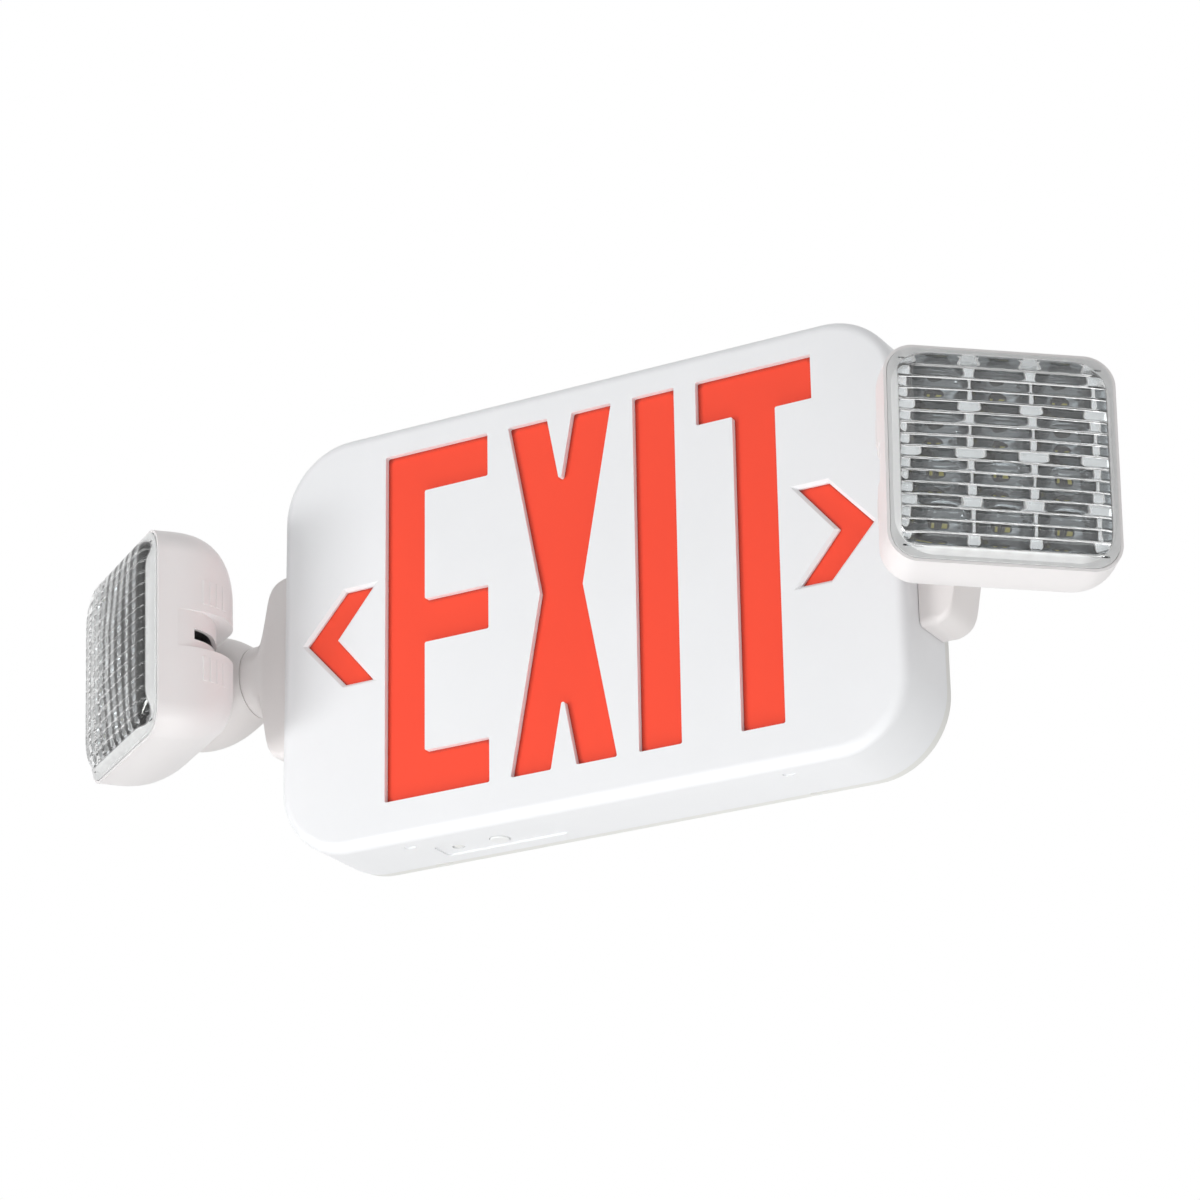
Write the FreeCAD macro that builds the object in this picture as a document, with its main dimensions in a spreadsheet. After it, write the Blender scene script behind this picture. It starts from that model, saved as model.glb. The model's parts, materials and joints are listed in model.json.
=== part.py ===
import FreeCAD
import Part
import math
import os
import re
import Sketcher

# Wall-mounted emergency exit light: a stencil-faced sign housing with two
# swivelling lamp heads. Origin at the centre of the wall face, +Z up,
# +X to the reader's right, the face looks along -Y. Millimetres.

doc = FreeCAD.newDocument("ExitLight")
sheet = doc.addObject("Spreadsheet::Sheet", "Sizes")

sizes = [
    # sign housing
    ("HousingWidth", 285.5), ("HousingHeight", 182.7), ("HousingDepth", 40),
    ("CornerRadius", 32), ("EdgeRadius", 4.5), ("RimDepth", 5), ("RimInset", 0.6),
    ("CoverWall", 2.5), ("FaceWall", 2.4), ("LipWall", 2), ("LipDepth", 4),
    ("LipGap", 0.3), ("PlateWall", 2.5),
    # stencil
    ("LetterHeight", 152.4), ("Stroke", 19.05), ("LettersLift", 2.1),
    ("LettersLeft", -91.7), ("LetterGap", 9.8), ("LetterEWidth", 49.3),
    ("LetterXWidth", 48.5), ("LetterXArm", 18.4), ("LetterXWaist", 19.8),
    ("LetterTWidth", 51.5), ("MidArmDrop", 0.75), ("ChevronTip", 130.3),
    ("ChevronReach", 32.2), ("ChevronBand", 13.4), ("ChevronNotch", 14.8),
    ("ChevronHeight", 41.2), ("ChevronLift", 1.5), ("ChevronBevel", 1.3), ("LetterRound", 0.8),
    # diffuser and sign lamps
    ("DiffuserWall", 2), ("DiffuserGap", 1.2), ("PegRadius", 1.5), ("PegFit", 0.1),
    ("PegX", 120), ("PegZ", 78), ("StripLength", 230), ("StripHeight", 9),
    ("StripLift", 40), ("StripStandoff", 19), ("BoardWall", 1.6),
    ("StripPostX", 95), ("StripPostSize", 7), ("LedCount", 12), ("LedPitch", 19), ("LedSize", 3.5),
    ("LedHeight", 0.8),
    # wall fixing
    ("EntryRadius", 11.1), ("FixingSpacing", 88.9), ("FixingRadius", 2.4),
    # charger board and what stands on it
    ("BoardLeft", -84), ("BoardWidth", 104), ("BoardBottom", -82), ("BoardHeight", 46),
    ("BoardStandoff", 6), ("PostRadius", 3.2), ("PostInset", 5), ("ScrewShank", 1.5),
    ("ScrewHead", 2.8), ("ScrewHeadHeight", 1.8), ("ScrewReach", 4),
    ("TransformerX", 78), ("TransformerZ", -64), ("CoreWidth", 38), ("CoreHeight", 26),
    ("CoreDepth", 14), ("CoreLeg", 10), ("CoreYoke", 5), ("CoilGap", 0.3),
    ("CoilProud", 4), ("RelayX", -10), ("RelayZ", -62), ("CapacitorX", 8), ("CapacitorZ", -60),
    ("CapacitorRadius", 5), ("CapacitorHeight", 11),
    # battery
    ("CellRadius", 7.1), ("CellLength", 50), ("BatteryX", -52), ("BatteryZ", 50),
    ("ClipWall", 1.4), ("ClipWidth", 16), ("ClipFoot", 10), ("ClipGap", 0.2),
    # supply terminals
    ("TerminalX", 50), ("TerminalZ", 26), ("TerminalWidth", 32),
    ("TerminalHeight", 14), ("TerminalDepth", 15),
    # test panel in the bottom wall
    ("PanelY", -18.5), ("PanelLeft", -78), ("PanelWidth", 56), ("PanelDepthY", 13),
    ("PanelRecess", 0.7), ("ButtonX", -50.3), ("ButtonRadius", 4),
    ("ButtonFit", 0.3), ("ButtonProud", 0.6), ("ButtonFlange", 5.5), ("ButtonTravel", 0.8),
    ("StemRadius", 2), ("StemFree", 0.9), ("LampX", -69.6), ("LampRadius", 2.5), ("LampFit", 0.1), ("LampRound", 1.6),
    ("SwitchSize", 6), ("SwitchHeight", 3.5), ("SwitchTip", 1), ("SwitchInset", 0.5),
    # latches
    ("LatchX", 85.6), ("LatchWidth", 10), ("LatchWall", 1.8), ("LatchReach", 12),
    ("LatchNib", 1.1), ("LatchGap", 0.5), ("NibDepth", 3), ("NibFree", 0.3),
    ("DimpleY", -30), ("DimpleDepth", 0.6), ("ReleaseWidth", 8), ("ReleaseDepth", 1.2),
    # arm bases
    ("ArmFront", -28.5), ("ArmHalf", 40.8), ("ArmAxisY", -16.7), ("ArmGap", 0.25),
    ("SeamReach", 26.5), ("HubRadius", 15), ("TabWall", 3), ("TabHalf", 36),
    ("NotchFront", -26), ("NotchHalf", 34), ("StemGap", 0.5), ("ArmScrewZ", 27),
    ("ArmScrewReach", 11), ("SpigotRadius", 7.5), ("SpigotFit", 0.06), ("SpigotBore", 4.5),
    ("SocketFloor", 8), ("SocketRadius", 10), ("RingWall", 1.2), ("RingRadius", 9.7),
    ("RingGroove", 1), ("RingEnd", 1), ("WasherWall", 1.5), ("WasherFit", 0.3),
    # necks
    ("NeckLength", 35), ("NeckHalf", 24.2), ("NeckBack", 3.2), ("NeckRound", 2), ("NeckTilt", 2.4),
    ("SeamGap", 0.25), ("PivotInset", 17.45), ("PivotY", -55.5), ("HeadLift", 1.9), ("EyeRadius", 8), ("TongueWall", 3.8),
    ("TongueWidth", 24), ("TongueRoot", 5),
    ("PivotX", "=HousingWidth/2+SeamReach+NeckLength-PivotInset"),
    # lamp heads
    ("HeadHalf", 44.7), ("HeadDepth", 40), ("HeadCorner", 12), ("SideStraight", 12),
    ("BackHalfWidth", 18), ("BackHalfHeight", 24), ("BackCorner", 12), ("HeadWall", 2.2),
    ("PivotDepth", 21), ("HeadTurn", 36.9), ("ChannelHalf", 8), ("ChannelStart", 8.5),
    ("ChannelSide", 0.15), ("ChannelRound", 22), ("ChannelBack", 3.5), ("BandWall", 1.8),
    ("WindowHalf", 2.3), ("WindowStart", 16), ("PinRadius", 2.5), ("PinFit", 0.05),
    ("PinHalf", 12), ("BossRadius", 5.5), ("BossGap", 0.3), ("HeadPost", 3.2),
    # optics
    ("RebateWall", 1.2), ("RebateDepth", 2.4), ("LensGap", 0.2),
    ("LensProud", 0.6), ("LensBulge", 7), ("LensBorder", 2.7), ("FluteBorder", 3),
    ("FluteEdge", 1), ("FluteRise", 2.2), ("FluteRadius", 3.6), ("ReflectorGap", 1.5),
    ("ReflectorDepth", 6.5), ("ReflectorCorner", 12), ("LensBack", 0.2), ("ColumnMargin", 5.6),
    ("RowMargin", 4.2), ("CupLand", 0.4), ("CupThroat", 3.6), ("CupCurve", 15),
    ("ChipWide", 2.4), ("ChipTall", 3), ("ChipPitch", 3.2), ("ChipHeight", 0.8),
    ("LensField", "=HeadHalf-LensBorder"), ("FluteHalf", "=LensField-FluteBorder"),
    ("ReflectorHalf", "=HeadHalf-HeadWall-ReflectorGap"),
    ("ColumnPitch", "=(2*ReflectorHalf-2*ColumnMargin)/3"),
    ("RowPitch", "=(2*ReflectorHalf-2*RowMargin)/4"),
    ("CupRadius", "=ColumnPitch/2-CupLand"),
]


def fillSheet():
    for row, (alias, size) in enumerate(sizes, start=1):
        cell = "B%d" % row
        sheet.set("A%d" % row, alias)
        sheet.set(cell, str(size))
        sheet.setAlias(cell, alias)
    doc.recompute()


def cells(formula):
    # every alias is written with a capital, every function without one
    return re.sub(r"[A-Z][A-Za-z]+", lambda word: "Sizes." + word.group(), str(formula))


def number(formula):
    return float(sheet.evalExpression(cells(formula)))


# ---- sketching ----------------------------------------------------------

def newBody(label):
    body = doc.addObject("PartDesign::Body", label)
    body.Label = label
    return body


def newSketch(body, plane, offset="0"):
    # plane "XZ" looks along +Y from the front, so its offset runs to -Y
    sketch = body.newObject("Sketcher::SketchObject", body.Label + "_sketch")
    origin = [f for f in body.Origin.OriginFeatures if f.Role == plane + "_Plane"][0]
    sketch.AttachmentSupport = [(origin, "")]
    sketch.MapMode = "FlatFace"
    sketch.setExpression("AttachmentOffset.Base.z", cells(offset))
    return sketch


def straight(sketch, start, end):
    return sketch.addGeometry(Part.LineSegment(start, end), False)


def bind(sketch, constraint, formula):
    index = sketch.addConstraint(constraint)
    sketch.setExpression("Constraints[%d]" % index, cells(formula))


def placePoint(sketch, geometry, point, x, y):
    bind(sketch, Sketcher.Constraint("DistanceX", -1, 1, geometry, point, number(x)), x)
    bind(sketch, Sketcher.Constraint("DistanceY", -1, 1, geometry, point, number(y)), y)


def drawOutline(sketch, corners):
    spots = [FreeCAD.Vector(number(x), number(y), 0) for x, y in corners]
    lines = []
    for i in range(len(spots)):
        segment = Part.LineSegment(spots[i], spots[(i + 1) % len(spots)])
        lines.append(sketch.addGeometry(segment, False))
    for i, line in enumerate(lines):
        after = lines[(i + 1) % len(lines)]
        sketch.addConstraint(Sketcher.Constraint("Coincident", line, 2, after, 1))
    for line, (x, y) in zip(lines, corners):
        placePoint(sketch, line, 1, x, y)


def drawBox(sketch, left, bottom, width, height):
    right = "(%s)+(%s)" % (left, width)
    top = "(%s)+(%s)" % (bottom, height)
    drawOutline(sketch, [(left, bottom), (right, bottom), (right, top), (left, top)])


def drawCircle(sketch, x, y, radius):
    centre = FreeCAD.Vector(number(x), number(y), 0)
    up = FreeCAD.Vector(0, 0, 1)
    circle = sketch.addGeometry(Part.Circle(centre, up, number(radius)), False)
    placePoint(sketch, circle, 3, x, y)
    bind(sketch, Sketcher.Constraint("Radius", circle, number(radius)), radius)


def drawRounded(sketch, halfWidth, halfHeight, radius, x="0", y="0"):
    # four corner arcs joined by lines that meet them tangentially
    w, h, r = number(halfWidth), number(halfHeight), number(radius)
    cx, cy = number(x), number(y)
    up = FreeCAD.Vector(0, 0, 1)
    quarter = 1.5707963267948966
    arcs = []
    signs = [(1, 1), (-1, 1), (-1, -1), (1, -1)]
    for turn, (sx, sy) in enumerate(signs):
        centre = FreeCAD.Vector(cx + sx * (w - r), cy + sy * (h - r), 0)
        circle = Part.Circle(centre, up, r)
        arc = Part.ArcOfCircle(circle, turn * quarter, (turn + 1) * quarter)
        arcs.append(sketch.addGeometry(arc, False))
    for i, arc in enumerate(arcs):
        after = arcs[(i + 1) % 4]
        start = sketch.getPoint(arc, 2)
        end = sketch.getPoint(after, 1)
        line = sketch.addGeometry(Part.LineSegment(start, end), False)
        sketch.addConstraint(Sketcher.Constraint("Tangent", arc, 2, line, 1))
        sketch.addConstraint(Sketcher.Constraint("Tangent", line, 2, after, 1))
    for arc, (sx, sy) in zip(arcs, signs):
        placePoint(sketch, arc, 3, "%s+%d*((%s)-(%s))" % (x, sx, halfWidth, radius),
                   "%s+%d*((%s)-(%s))" % (y, sy, halfHeight, radius))
        bind(sketch, Sketcher.Constraint("Radius", arc, r), radius)


# ---- features -----------------------------------------------------------

def finish(body, feature):
    body.Tip = feature
    doc.recompute()
    return feature


def pad(body, sketch, length, reverse=False, both=False):
    feature = body.newObject("PartDesign::Pad", body.Label + "_pad")
    feature.Profile = sketch
    feature.setExpression("Length", cells(length))
    feature.Reversed = reverse
    feature.Midplane = both
    return finish(body, feature)


def pocket(body, sketch, length, reverse=False, both=False):
    before = body.Shape.Volume
    feature = body.newObject("PartDesign::Pocket", body.Label + "_pocket")
    feature.Profile = sketch
    feature.setExpression("Length", cells(length))
    feature.Reversed = reverse
    feature.Midplane = both
    finish(body, feature)
    if body.Shape.Volume > before - 0.01:
        raise RuntimeError(feature.Label + " cuts nothing")
    return feature


def loft(body, sketches, cut=False):
    kind = "PartDesign::SubtractiveLoft" if cut else "PartDesign::AdditiveLoft"
    feature = body.newObject(kind, body.Label + "_loft")
    feature.Profile = sketches[0]
    feature.Sections = sketches[1:]
    return finish(body, feature)


def spin(body, sketch, axis, cut=False):
    kind = "PartDesign::Groove" if cut else "PartDesign::Revolution"
    feature = body.newObject(kind, body.Label + "_spin")
    feature.Profile = sketch
    feature.ReferenceAxis = axis
    feature.Angle = 360
    return finish(body, feature)


def pattern(body, feature, direction, step, count):
    row = body.newObject("PartDesign::LinearPattern", body.Label + "_row")
    row.Originals = [feature]
    row.Direction = direction
    row.Mode = "Spacing"
    row.setExpression("Offset", cells(step))
    row.Occurrences = count
    return finish(body, row)


def edgesWhere(shape, wanted):
    return ["Edge%d" % (i + 1) for i, edge in enumerate(shape.Edges) if wanted(edge)]


def roundEdges(body, wanted, radius, kind="Fillet"):
    base = body.Tip
    feature = body.newObject("PartDesign::" + kind, body.Label + "_" + kind.lower())
    feature.Base = (base, edgesWhere(base.Shape, wanted))
    feature.setExpression("Radius" if kind == "Fillet" else "Size", cells(radius))
    return finish(body, feature)


def liesAt(edge, axis, place, slack=0.01):
    # true when the whole edge lies in the plane axis = place
    box = edge.BoundBox
    low = (box.XMin, box.YMin, box.ZMin)[axis]
    high = (box.XMax, box.YMax, box.ZMax)[axis]
    return abs(low - place) < slack and abs(high - place) < slack


def turnedOver(source, label):
    # the same moulding on the other side: half a turn about the Y axis
    twin = doc.addObject("Part::Compound", label)
    twin.Label = label
    twin.Links = [source]
    half = FreeCAD.Rotation(FreeCAD.Vector(0, 1, 0), 180)
    twin.Placement = FreeCAD.Placement(FreeCAD.Vector(0, 0, 0), half)
    return twin


# ---- sign housing -------------------------------------------------------

halfWide = "HousingWidth/2"
halfTall = "HousingHeight/2"


def drawLetters(sketch):
    base = "(LettersLift-LetterHeight/2)"
    top = "(LettersLift+LetterHeight/2)"
    # E
    left = "LettersLeft"
    right = "(LettersLeft+LetterEWidth)"
    stem = "(LettersLeft+Stroke)"
    middle = "(LettersLift-MidArmDrop)"
    drawOutline(sketch, [
        (left, base), (right, base), (right, base + "+Stroke"), (stem, base + "+Stroke"),
        (stem, middle + "-Stroke/2"), (right, middle + "-Stroke/2"),
        (right, middle + "+Stroke/2"), (stem, middle + "+Stroke/2"),
        (stem, top + "-Stroke"), (right, top + "-Stroke"), (right, top), (left, top)])
    # X, its notches set by the slope of its legs
    centre = "(LettersLeft+LetterEWidth+LetterGap+LetterXWidth/2)"
    foot = "LetterXWidth/2"
    inner = "(LetterXWidth/2-LetterXArm)"
    notch = "(%s*LetterHeight/(LetterXWidth-LetterXWaist))" % inner
    drawOutline(sketch, [
        (centre + "-" + foot, top), (centre + "-" + inner, top), (centre, top + "-" + notch),
        (centre + "+" + inner, top), (centre + "+" + foot, top),
        (centre + "+LetterXWaist/2", "LettersLift"), (centre + "+" + foot, base),
        (centre + "+" + inner, base), (centre, base + "+" + notch),
        (centre + "-" + inner, base), (centre + "-" + foot, base),
        (centre + "-LetterXWaist/2", "LettersLift")])
    # I
    stroke = "(LettersLeft+LetterEWidth+LetterXWidth+2*LetterGap)"
    drawBox(sketch, stroke, base, "Stroke", "LetterHeight")
    # T
    left = "(LettersLeft+LetterEWidth+LetterXWidth+3*LetterGap+Stroke)"
    right = left + "+LetterTWidth"
    stem = left + "+(LetterTWidth-Stroke)/2"
    drawOutline(sketch, [
        (left, top), (left, top + "-Stroke"), (stem, top + "-Stroke"), (stem, base),
        (stem + "+Stroke", base), (stem + "+Stroke", top + "-Stroke"),
        (right, top + "-Stroke"), (right, top)])


def drawChevron(sketch, side):
    upper = "(ChevronLift+ChevronHeight/2)"
    lower = "(ChevronLift-ChevronHeight/2)"
    tip = "%d*ChevronTip" % side
    near = "%d*(ChevronTip-ChevronReach+ChevronBand)" % side
    far = "%d*(ChevronTip-ChevronReach)" % side
    notch = "%d*(ChevronTip-ChevronNotch)" % side
    drawOutline(sketch, [(tip, "ChevronLift"), (near, upper), (far, upper),
                         (notch, "ChevronLift"), (far, lower), (near, lower)])


def makeCover():
    # one moulding: face, side walls, stencil, test panel, latch pockets
    body = newBody("front_cover")
    outline = newSketch(body, "XZ", "HousingDepth")
    drawRounded(outline, halfWide, halfTall, "CornerRadius")
    pad(body, outline, "HousingDepth-RimDepth", reverse=True)
    front = -number("HousingDepth")
    roundEdges(body, lambda edge: liesAt(edge, 1, front), "EdgeRadius")
    hollow = newSketch(body, "XZ", "RimDepth")
    drawRounded(hollow, halfWide + "-CoverWall", halfTall + "-CoverWall", "CornerRadius-CoverWall")
    pocket(body, hollow, "HousingDepth-RimDepth-FaceWall", reverse=True)

    stencil = newSketch(body, "XZ", "HousingDepth")
    drawLetters(stencil)
    for side in (-1, 1):
        drawChevron(stencil, side)
    pocket(body, stencil, "2*FaceWall")
    inner = number("ChevronTip-ChevronReach") - 1
    outer = number("ChevronTip") + 1
    wall = number("FaceWall")

    def onLetter(edge):
        box = edge.BoundBox
        through = abs(box.YLength - wall) < 0.01 and box.XLength < 0.01 and box.ZLength < 0.01
        return through and abs(box.XMin) < inner

    roundEdges(body, onLetter, "LetterRound")
    lift = number("ChevronLift")
    reach = number("ChevronHeight") / 2 + 1

    def onChevron(edge):
        spot = edge.CenterOfMass
        near = inner < abs(spot.x) < outer and abs(spot.z - lift) < reach
        return near and liesAt(edge, 1, front)

    roundEdges(body, onChevron, "ChevronBevel", "Chamfer")

    # side notches, open to the rear, that pass the arm bases
    for side in (-1, 1):
        notch = newSketch(body, "YZ", "%d*(HousingWidth/2+1)" % side)
        drawBox(notch, "NotchFront", "-NotchHalf", "-NotchFront", "2*NotchHalf")
        pocket(body, notch, "CoverWall+2", reverse=side < 0)

    # test panel in the bottom wall, with a lamp hole and a button hole
    panel = newSketch(body, "XY", "-HousingHeight/2")
    drawRounded(panel, "PanelWidth/2", "PanelDepthY/2", "2", "PanelLeft+PanelWidth/2", "PanelY")
    pocket(body, panel, "PanelRecess", reverse=True)
    holes = newSketch(body, "XY", "-HousingHeight/2")
    drawCircle(holes, "ButtonX", "PanelY", "ButtonRadius+ButtonFit")
    drawCircle(holes, "LampX", "PanelY", "LampRadius+LampFit")
    pocket(body, holes, "CoverWall+1", reverse=True)

    # pockets for the latch nibs, and a thumb dimple over each lower one
    for side in (-1, 1):
        nibs = newSketch(body, "XY", "%d*(HousingHeight/2-CoverWall)" % side)
        for x in ("LatchX", "-LatchX"):
            drawBox(nibs, x + "-LatchWidth/2-NibFree", "-RimDepth-LatchReach-NibFree",
                    "LatchWidth+2*NibFree", "NibDepth+2*NibFree")
        pocket(body, nibs, "LatchNib+NibFree", reverse=side > 0)
    dimples = newSketch(body, "XY", "-HousingHeight/2")
    for x in ("LatchX", "-LatchX"):
        drawRounded(dimples, "2.6", "1.5", "1.4", x, "DimpleY")
    pocket(body, dimples, "DimpleDepth", reverse=True)

    # pegs that carry the diffuser
    pegs = newSketch(body, "XZ", "HousingDepth-FaceWall")
    for x in ("PegX", "-PegX"):
        for z in ("PegZ", "-PegZ"):
            drawCircle(pegs, x, z, "PegRadius")
    pad(body, pegs, "DiffuserWall+1", reverse=True)
    return body


def makeBackPlate():
    body = newBody("back_plate")
    lip = "HousingWidth/2-CoverWall-LipGap"
    lipTall = "HousingHeight/2-CoverWall-LipGap"
    lipCorner = "CornerRadius-CoverWall-LipGap"
    outline = newSketch(body, "XZ")
    drawRounded(outline, halfWide + "-RimInset", halfTall + "-RimInset", "CornerRadius-RimInset")
    pad(body, outline, "RimDepth")
    well = newSketch(body, "XZ", "RimDepth")
    drawRounded(well, lip + "-LipWall", lipTall + "-LipWall", lipCorner + "-LipWall")
    pocket(body, well, "RimDepth-PlateWall")
    ring = newSketch(body, "XZ", "RimDepth")
    drawRounded(ring, lip, lipTall, lipCorner)
    drawRounded(ring, lip + "-LipWall", lipTall + "-LipWall", lipCorner + "-LipWall")
    pad(body, ring, "LipDepth")

    # latch fingers with a nib at each tip
    for wall in (-1, 1):
        edge = "%d*(HousingHeight/2-CoverWall-LatchGap-LatchWall/2)-LatchWall/2" % wall
        fingers = newSketch(body, "XZ", "PlateWall")
        nibs = newSketch(body, "XZ", "RimDepth+LatchReach-NibDepth")
        nibEdge = "%d*(HousingHeight/2-CoverWall+(LatchNib-LatchGap-LatchWall)/2)" % wall
        nibTall = "LatchWall+LatchGap+LatchNib"
        for x in ("LatchX", "-LatchX"):
            drawBox(fingers, x + "-LatchWidth/2", edge, "LatchWidth", "LatchWall")
            drawBox(nibs, x + "-LatchWidth/2", nibEdge + "-(%s)/2" % nibTall, "LatchWidth", nibTall)
        pad(body, fingers, "RimDepth-PlateWall+LatchReach")
        pad(body, nibs, "NibDepth")

    # tabs that carry the arm bases, open round the neck's spigot
    tabs = newSketch(body, "XZ", "PlateWall")
    drawBox(tabs, lip + "-TabWall", "-TabHalf", "TabWall", "2*TabHalf")
    drawBox(tabs, "-(%s)" % lip, "-TabHalf", "TabWall", "2*TabHalf")
    pad(body, tabs, "-NotchFront-PlateWall")
    for side in (-1, 1):
        holes = newSketch(body, "YZ", "%d*(%s)" % (side, lip))
        drawCircle(holes, "ArmAxisY", "0", "SocketRadius")
        drawCircle(holes, "ArmAxisY", "ArmScrewZ", "ScrewShank")
        drawCircle(holes, "ArmAxisY", "-ArmScrewZ", "ScrewShank")
        pocket(body, holes, "TabWall", reverse=side < 0)

    # posts for the charger board, the lamp strips and the transformer
    posts = newSketch(body, "XZ", "PlateWall")
    for x, z in boardCorners:
        drawCircle(posts, x, z, "PostRadius")
    pad(body, posts, "BoardStandoff")
    stripPosts = newSketch(body, "XZ", "PlateWall")
    for x, z in stripSpots:
        drawBox(stripPosts, x + "-StripPostSize/2", z + "-StripPostSize/2", "StripPostSize", "StripPostSize")
    pad(body, stripPosts, "StripStandoff-PlateWall")
    rests = newSketch(body, "XZ", "PlateWall")
    for side in (-1, 1):
        drawBox(rests, "TransformerX+%d*(CoreWidth/2-CoreYoke/2)-CoreYoke/2" % side,
                "TransformerZ-CoreHeight/2", "CoreYoke", "CoreHeight")
    pad(body, rests, "CoilProud+1")

    # holes: wire entry, wall fixings and screw pilots
    entry = newSketch(body, "XZ", "PlateWall")
    drawCircle(entry, "0", "0", "EntryRadius")
    drawCircle(entry, "FixingSpacing/2", "0", "FixingRadius")
    drawCircle(entry, "-FixingSpacing/2", "0", "FixingRadius")
    pocket(body, entry, "PlateWall")
    pilots = newSketch(body, "XZ", "PlateWall+BoardStandoff")
    for x, z in boardCorners:
        drawCircle(pilots, x, z, "ScrewShank")
    pocket(body, pilots, "ScrewReach")
    stripPilots = newSketch(body, "XZ", "StripStandoff")
    for x, z in stripSpots:
        drawCircle(stripPilots, x, z, "ScrewShank")
    pocket(body, stripPilots, "ScrewReach")
    clipPilots = newSketch(body, "XZ", "PlateWall")
    for x, z in clipSpots:
        drawCircle(clipPilots, x, z, "ScrewShank")
    pocket(body, clipPilots, "PlateWall-0.5")

    # finger notches in the lower edge, under the latches
    release = newSketch(body, "XZ", "RimDepth")
    for x in ("LatchX", "-LatchX"):
        drawBox(release, x + "-ReleaseWidth/2", "-HousingHeight/2", "ReleaseWidth", "ReleaseDepth")
    pocket(body, release, "RimDepth/2")
    return body


boardCorners = [("BoardLeft+PostInset", "BoardBottom+PostInset"),
                ("BoardLeft+BoardWidth-PostInset", "BoardBottom+PostInset"),
                ("BoardLeft+BoardWidth-PostInset", "BoardBottom+BoardHeight-PostInset"),
                ("BoardLeft+PostInset", "BoardBottom+BoardHeight-PostInset")]
stripSpots = [("StripPostX", "StripLift"), ("-StripPostX", "StripLift"),
              ("-StripPostX", "-StripLift"), ("StripPostX", "-StripLift")]
clipSpots = [("BatteryX", "BatteryZ+3*CellRadius+ClipGap+ClipWall+ClipFoot/2"),
             ("BatteryX", "BatteryZ-3*CellRadius-ClipGap-ClipWall-ClipFoot/2")]


def makeDiffuser():
    body = newBody("red_diffuser")
    outline = newSketch(body, "XZ", "HousingDepth-FaceWall")
    inset = "-CoverWall-DiffuserGap"
    drawRounded(outline, halfWide + inset, halfTall + inset, "CornerRadius" + inset)
    for x in ("PegX", "-PegX"):
        for z in ("PegZ", "-PegZ"):
            drawCircle(outline, x, z, "PegRadius+PegFit")
    pad(body, outline, "DiffuserWall", reverse=True)
    return body


def makeStrip(label, lift):
    # narrow board across two posts
    body = newBody(label)
    outline = newSketch(body, "XZ", "StripStandoff")
    drawBox(outline, "-StripLength/2", lift + "-StripHeight/2", "StripLength", "StripHeight")
    for x, z in stripSpots:
        if z == lift:
            drawCircle(outline, x, z, "ScrewShank")
    pad(body, outline, "BoardWall")
    return body


def makeSignLeds():
    # two rows of surface-mount lamps on the strips
    body = newBody("sign_leds")
    body.AllowCompound = True
    first = newSketch(body, "XZ", "StripStandoff+BoardWall")
    drawBox(first, "-LedPitch*(LedCount-1)/2-LedSize/2", "-StripLift-LedSize/2", "LedSize", "LedSize")
    lamp = pad(body, first, "LedHeight")
    rows = pattern(body, lamp, (first, ["H_Axis"]), "LedPitch", int(number("LedCount")))
    rows.Direction2 = (first, ["V_Axis"])
    rows.Mode2 = "Spacing"
    rows.setExpression("Offset2", cells("2*StripLift"))
    rows.Occurrences2 = 2
    finish(body, rows)
    return body


def makeScrews(label, plane, offset, spots, shank, reverse=False):
    # pan-head screws whose heads bear on the plane at offset
    body = newBody(label)
    body.AllowCompound = True
    heads = newSketch(body, plane, offset)
    shanks = newSketch(body, plane, offset)
    for x, z in spots:
        drawCircle(heads, x, z, "ScrewHead")
        drawCircle(shanks, x, z, "ScrewShank")
    pad(body, shanks, shank, reverse=not reverse)
    pad(body, heads, "ScrewHeadHeight", reverse=reverse)
    return body


def makeChargerBoard():
    body = newBody("charger_board")
    outline = newSketch(body, "XZ", "PlateWall+BoardStandoff")
    drawBox(outline, "BoardLeft", "BoardBottom", "BoardWidth", "BoardHeight")
    for x, z in boardCorners:
        drawCircle(outline, x, z, "ScrewShank")
    pad(body, outline, "BoardWall")
    return body


boardFront = "PlateWall+BoardStandoff+BoardWall"


def makeRelay():
    body = newBody("transfer_relay")
    outline = newSketch(body, "XZ", boardFront)
    drawBox(outline, "RelayX-8", "RelayZ-6", "16", "12")
    pad(body, outline, "11")
    back = -number(boardFront)
    roundEdges(body, lambda edge: not liesAt(edge, 1, back), "0.6")
    return body


def makeCapacitor():
    body = newBody("charge_capacitor")
    outline = newSketch(body, "XZ", boardFront)
    drawCircle(outline, "CapacitorX", "CapacitorZ", "CapacitorRadius")
    pad(body, outline, "CapacitorHeight")
    front = -number(boardFront + "+CapacitorHeight")
    roundEdges(body, lambda edge: liesAt(edge, 1, front), "0.8")
    return body


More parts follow.
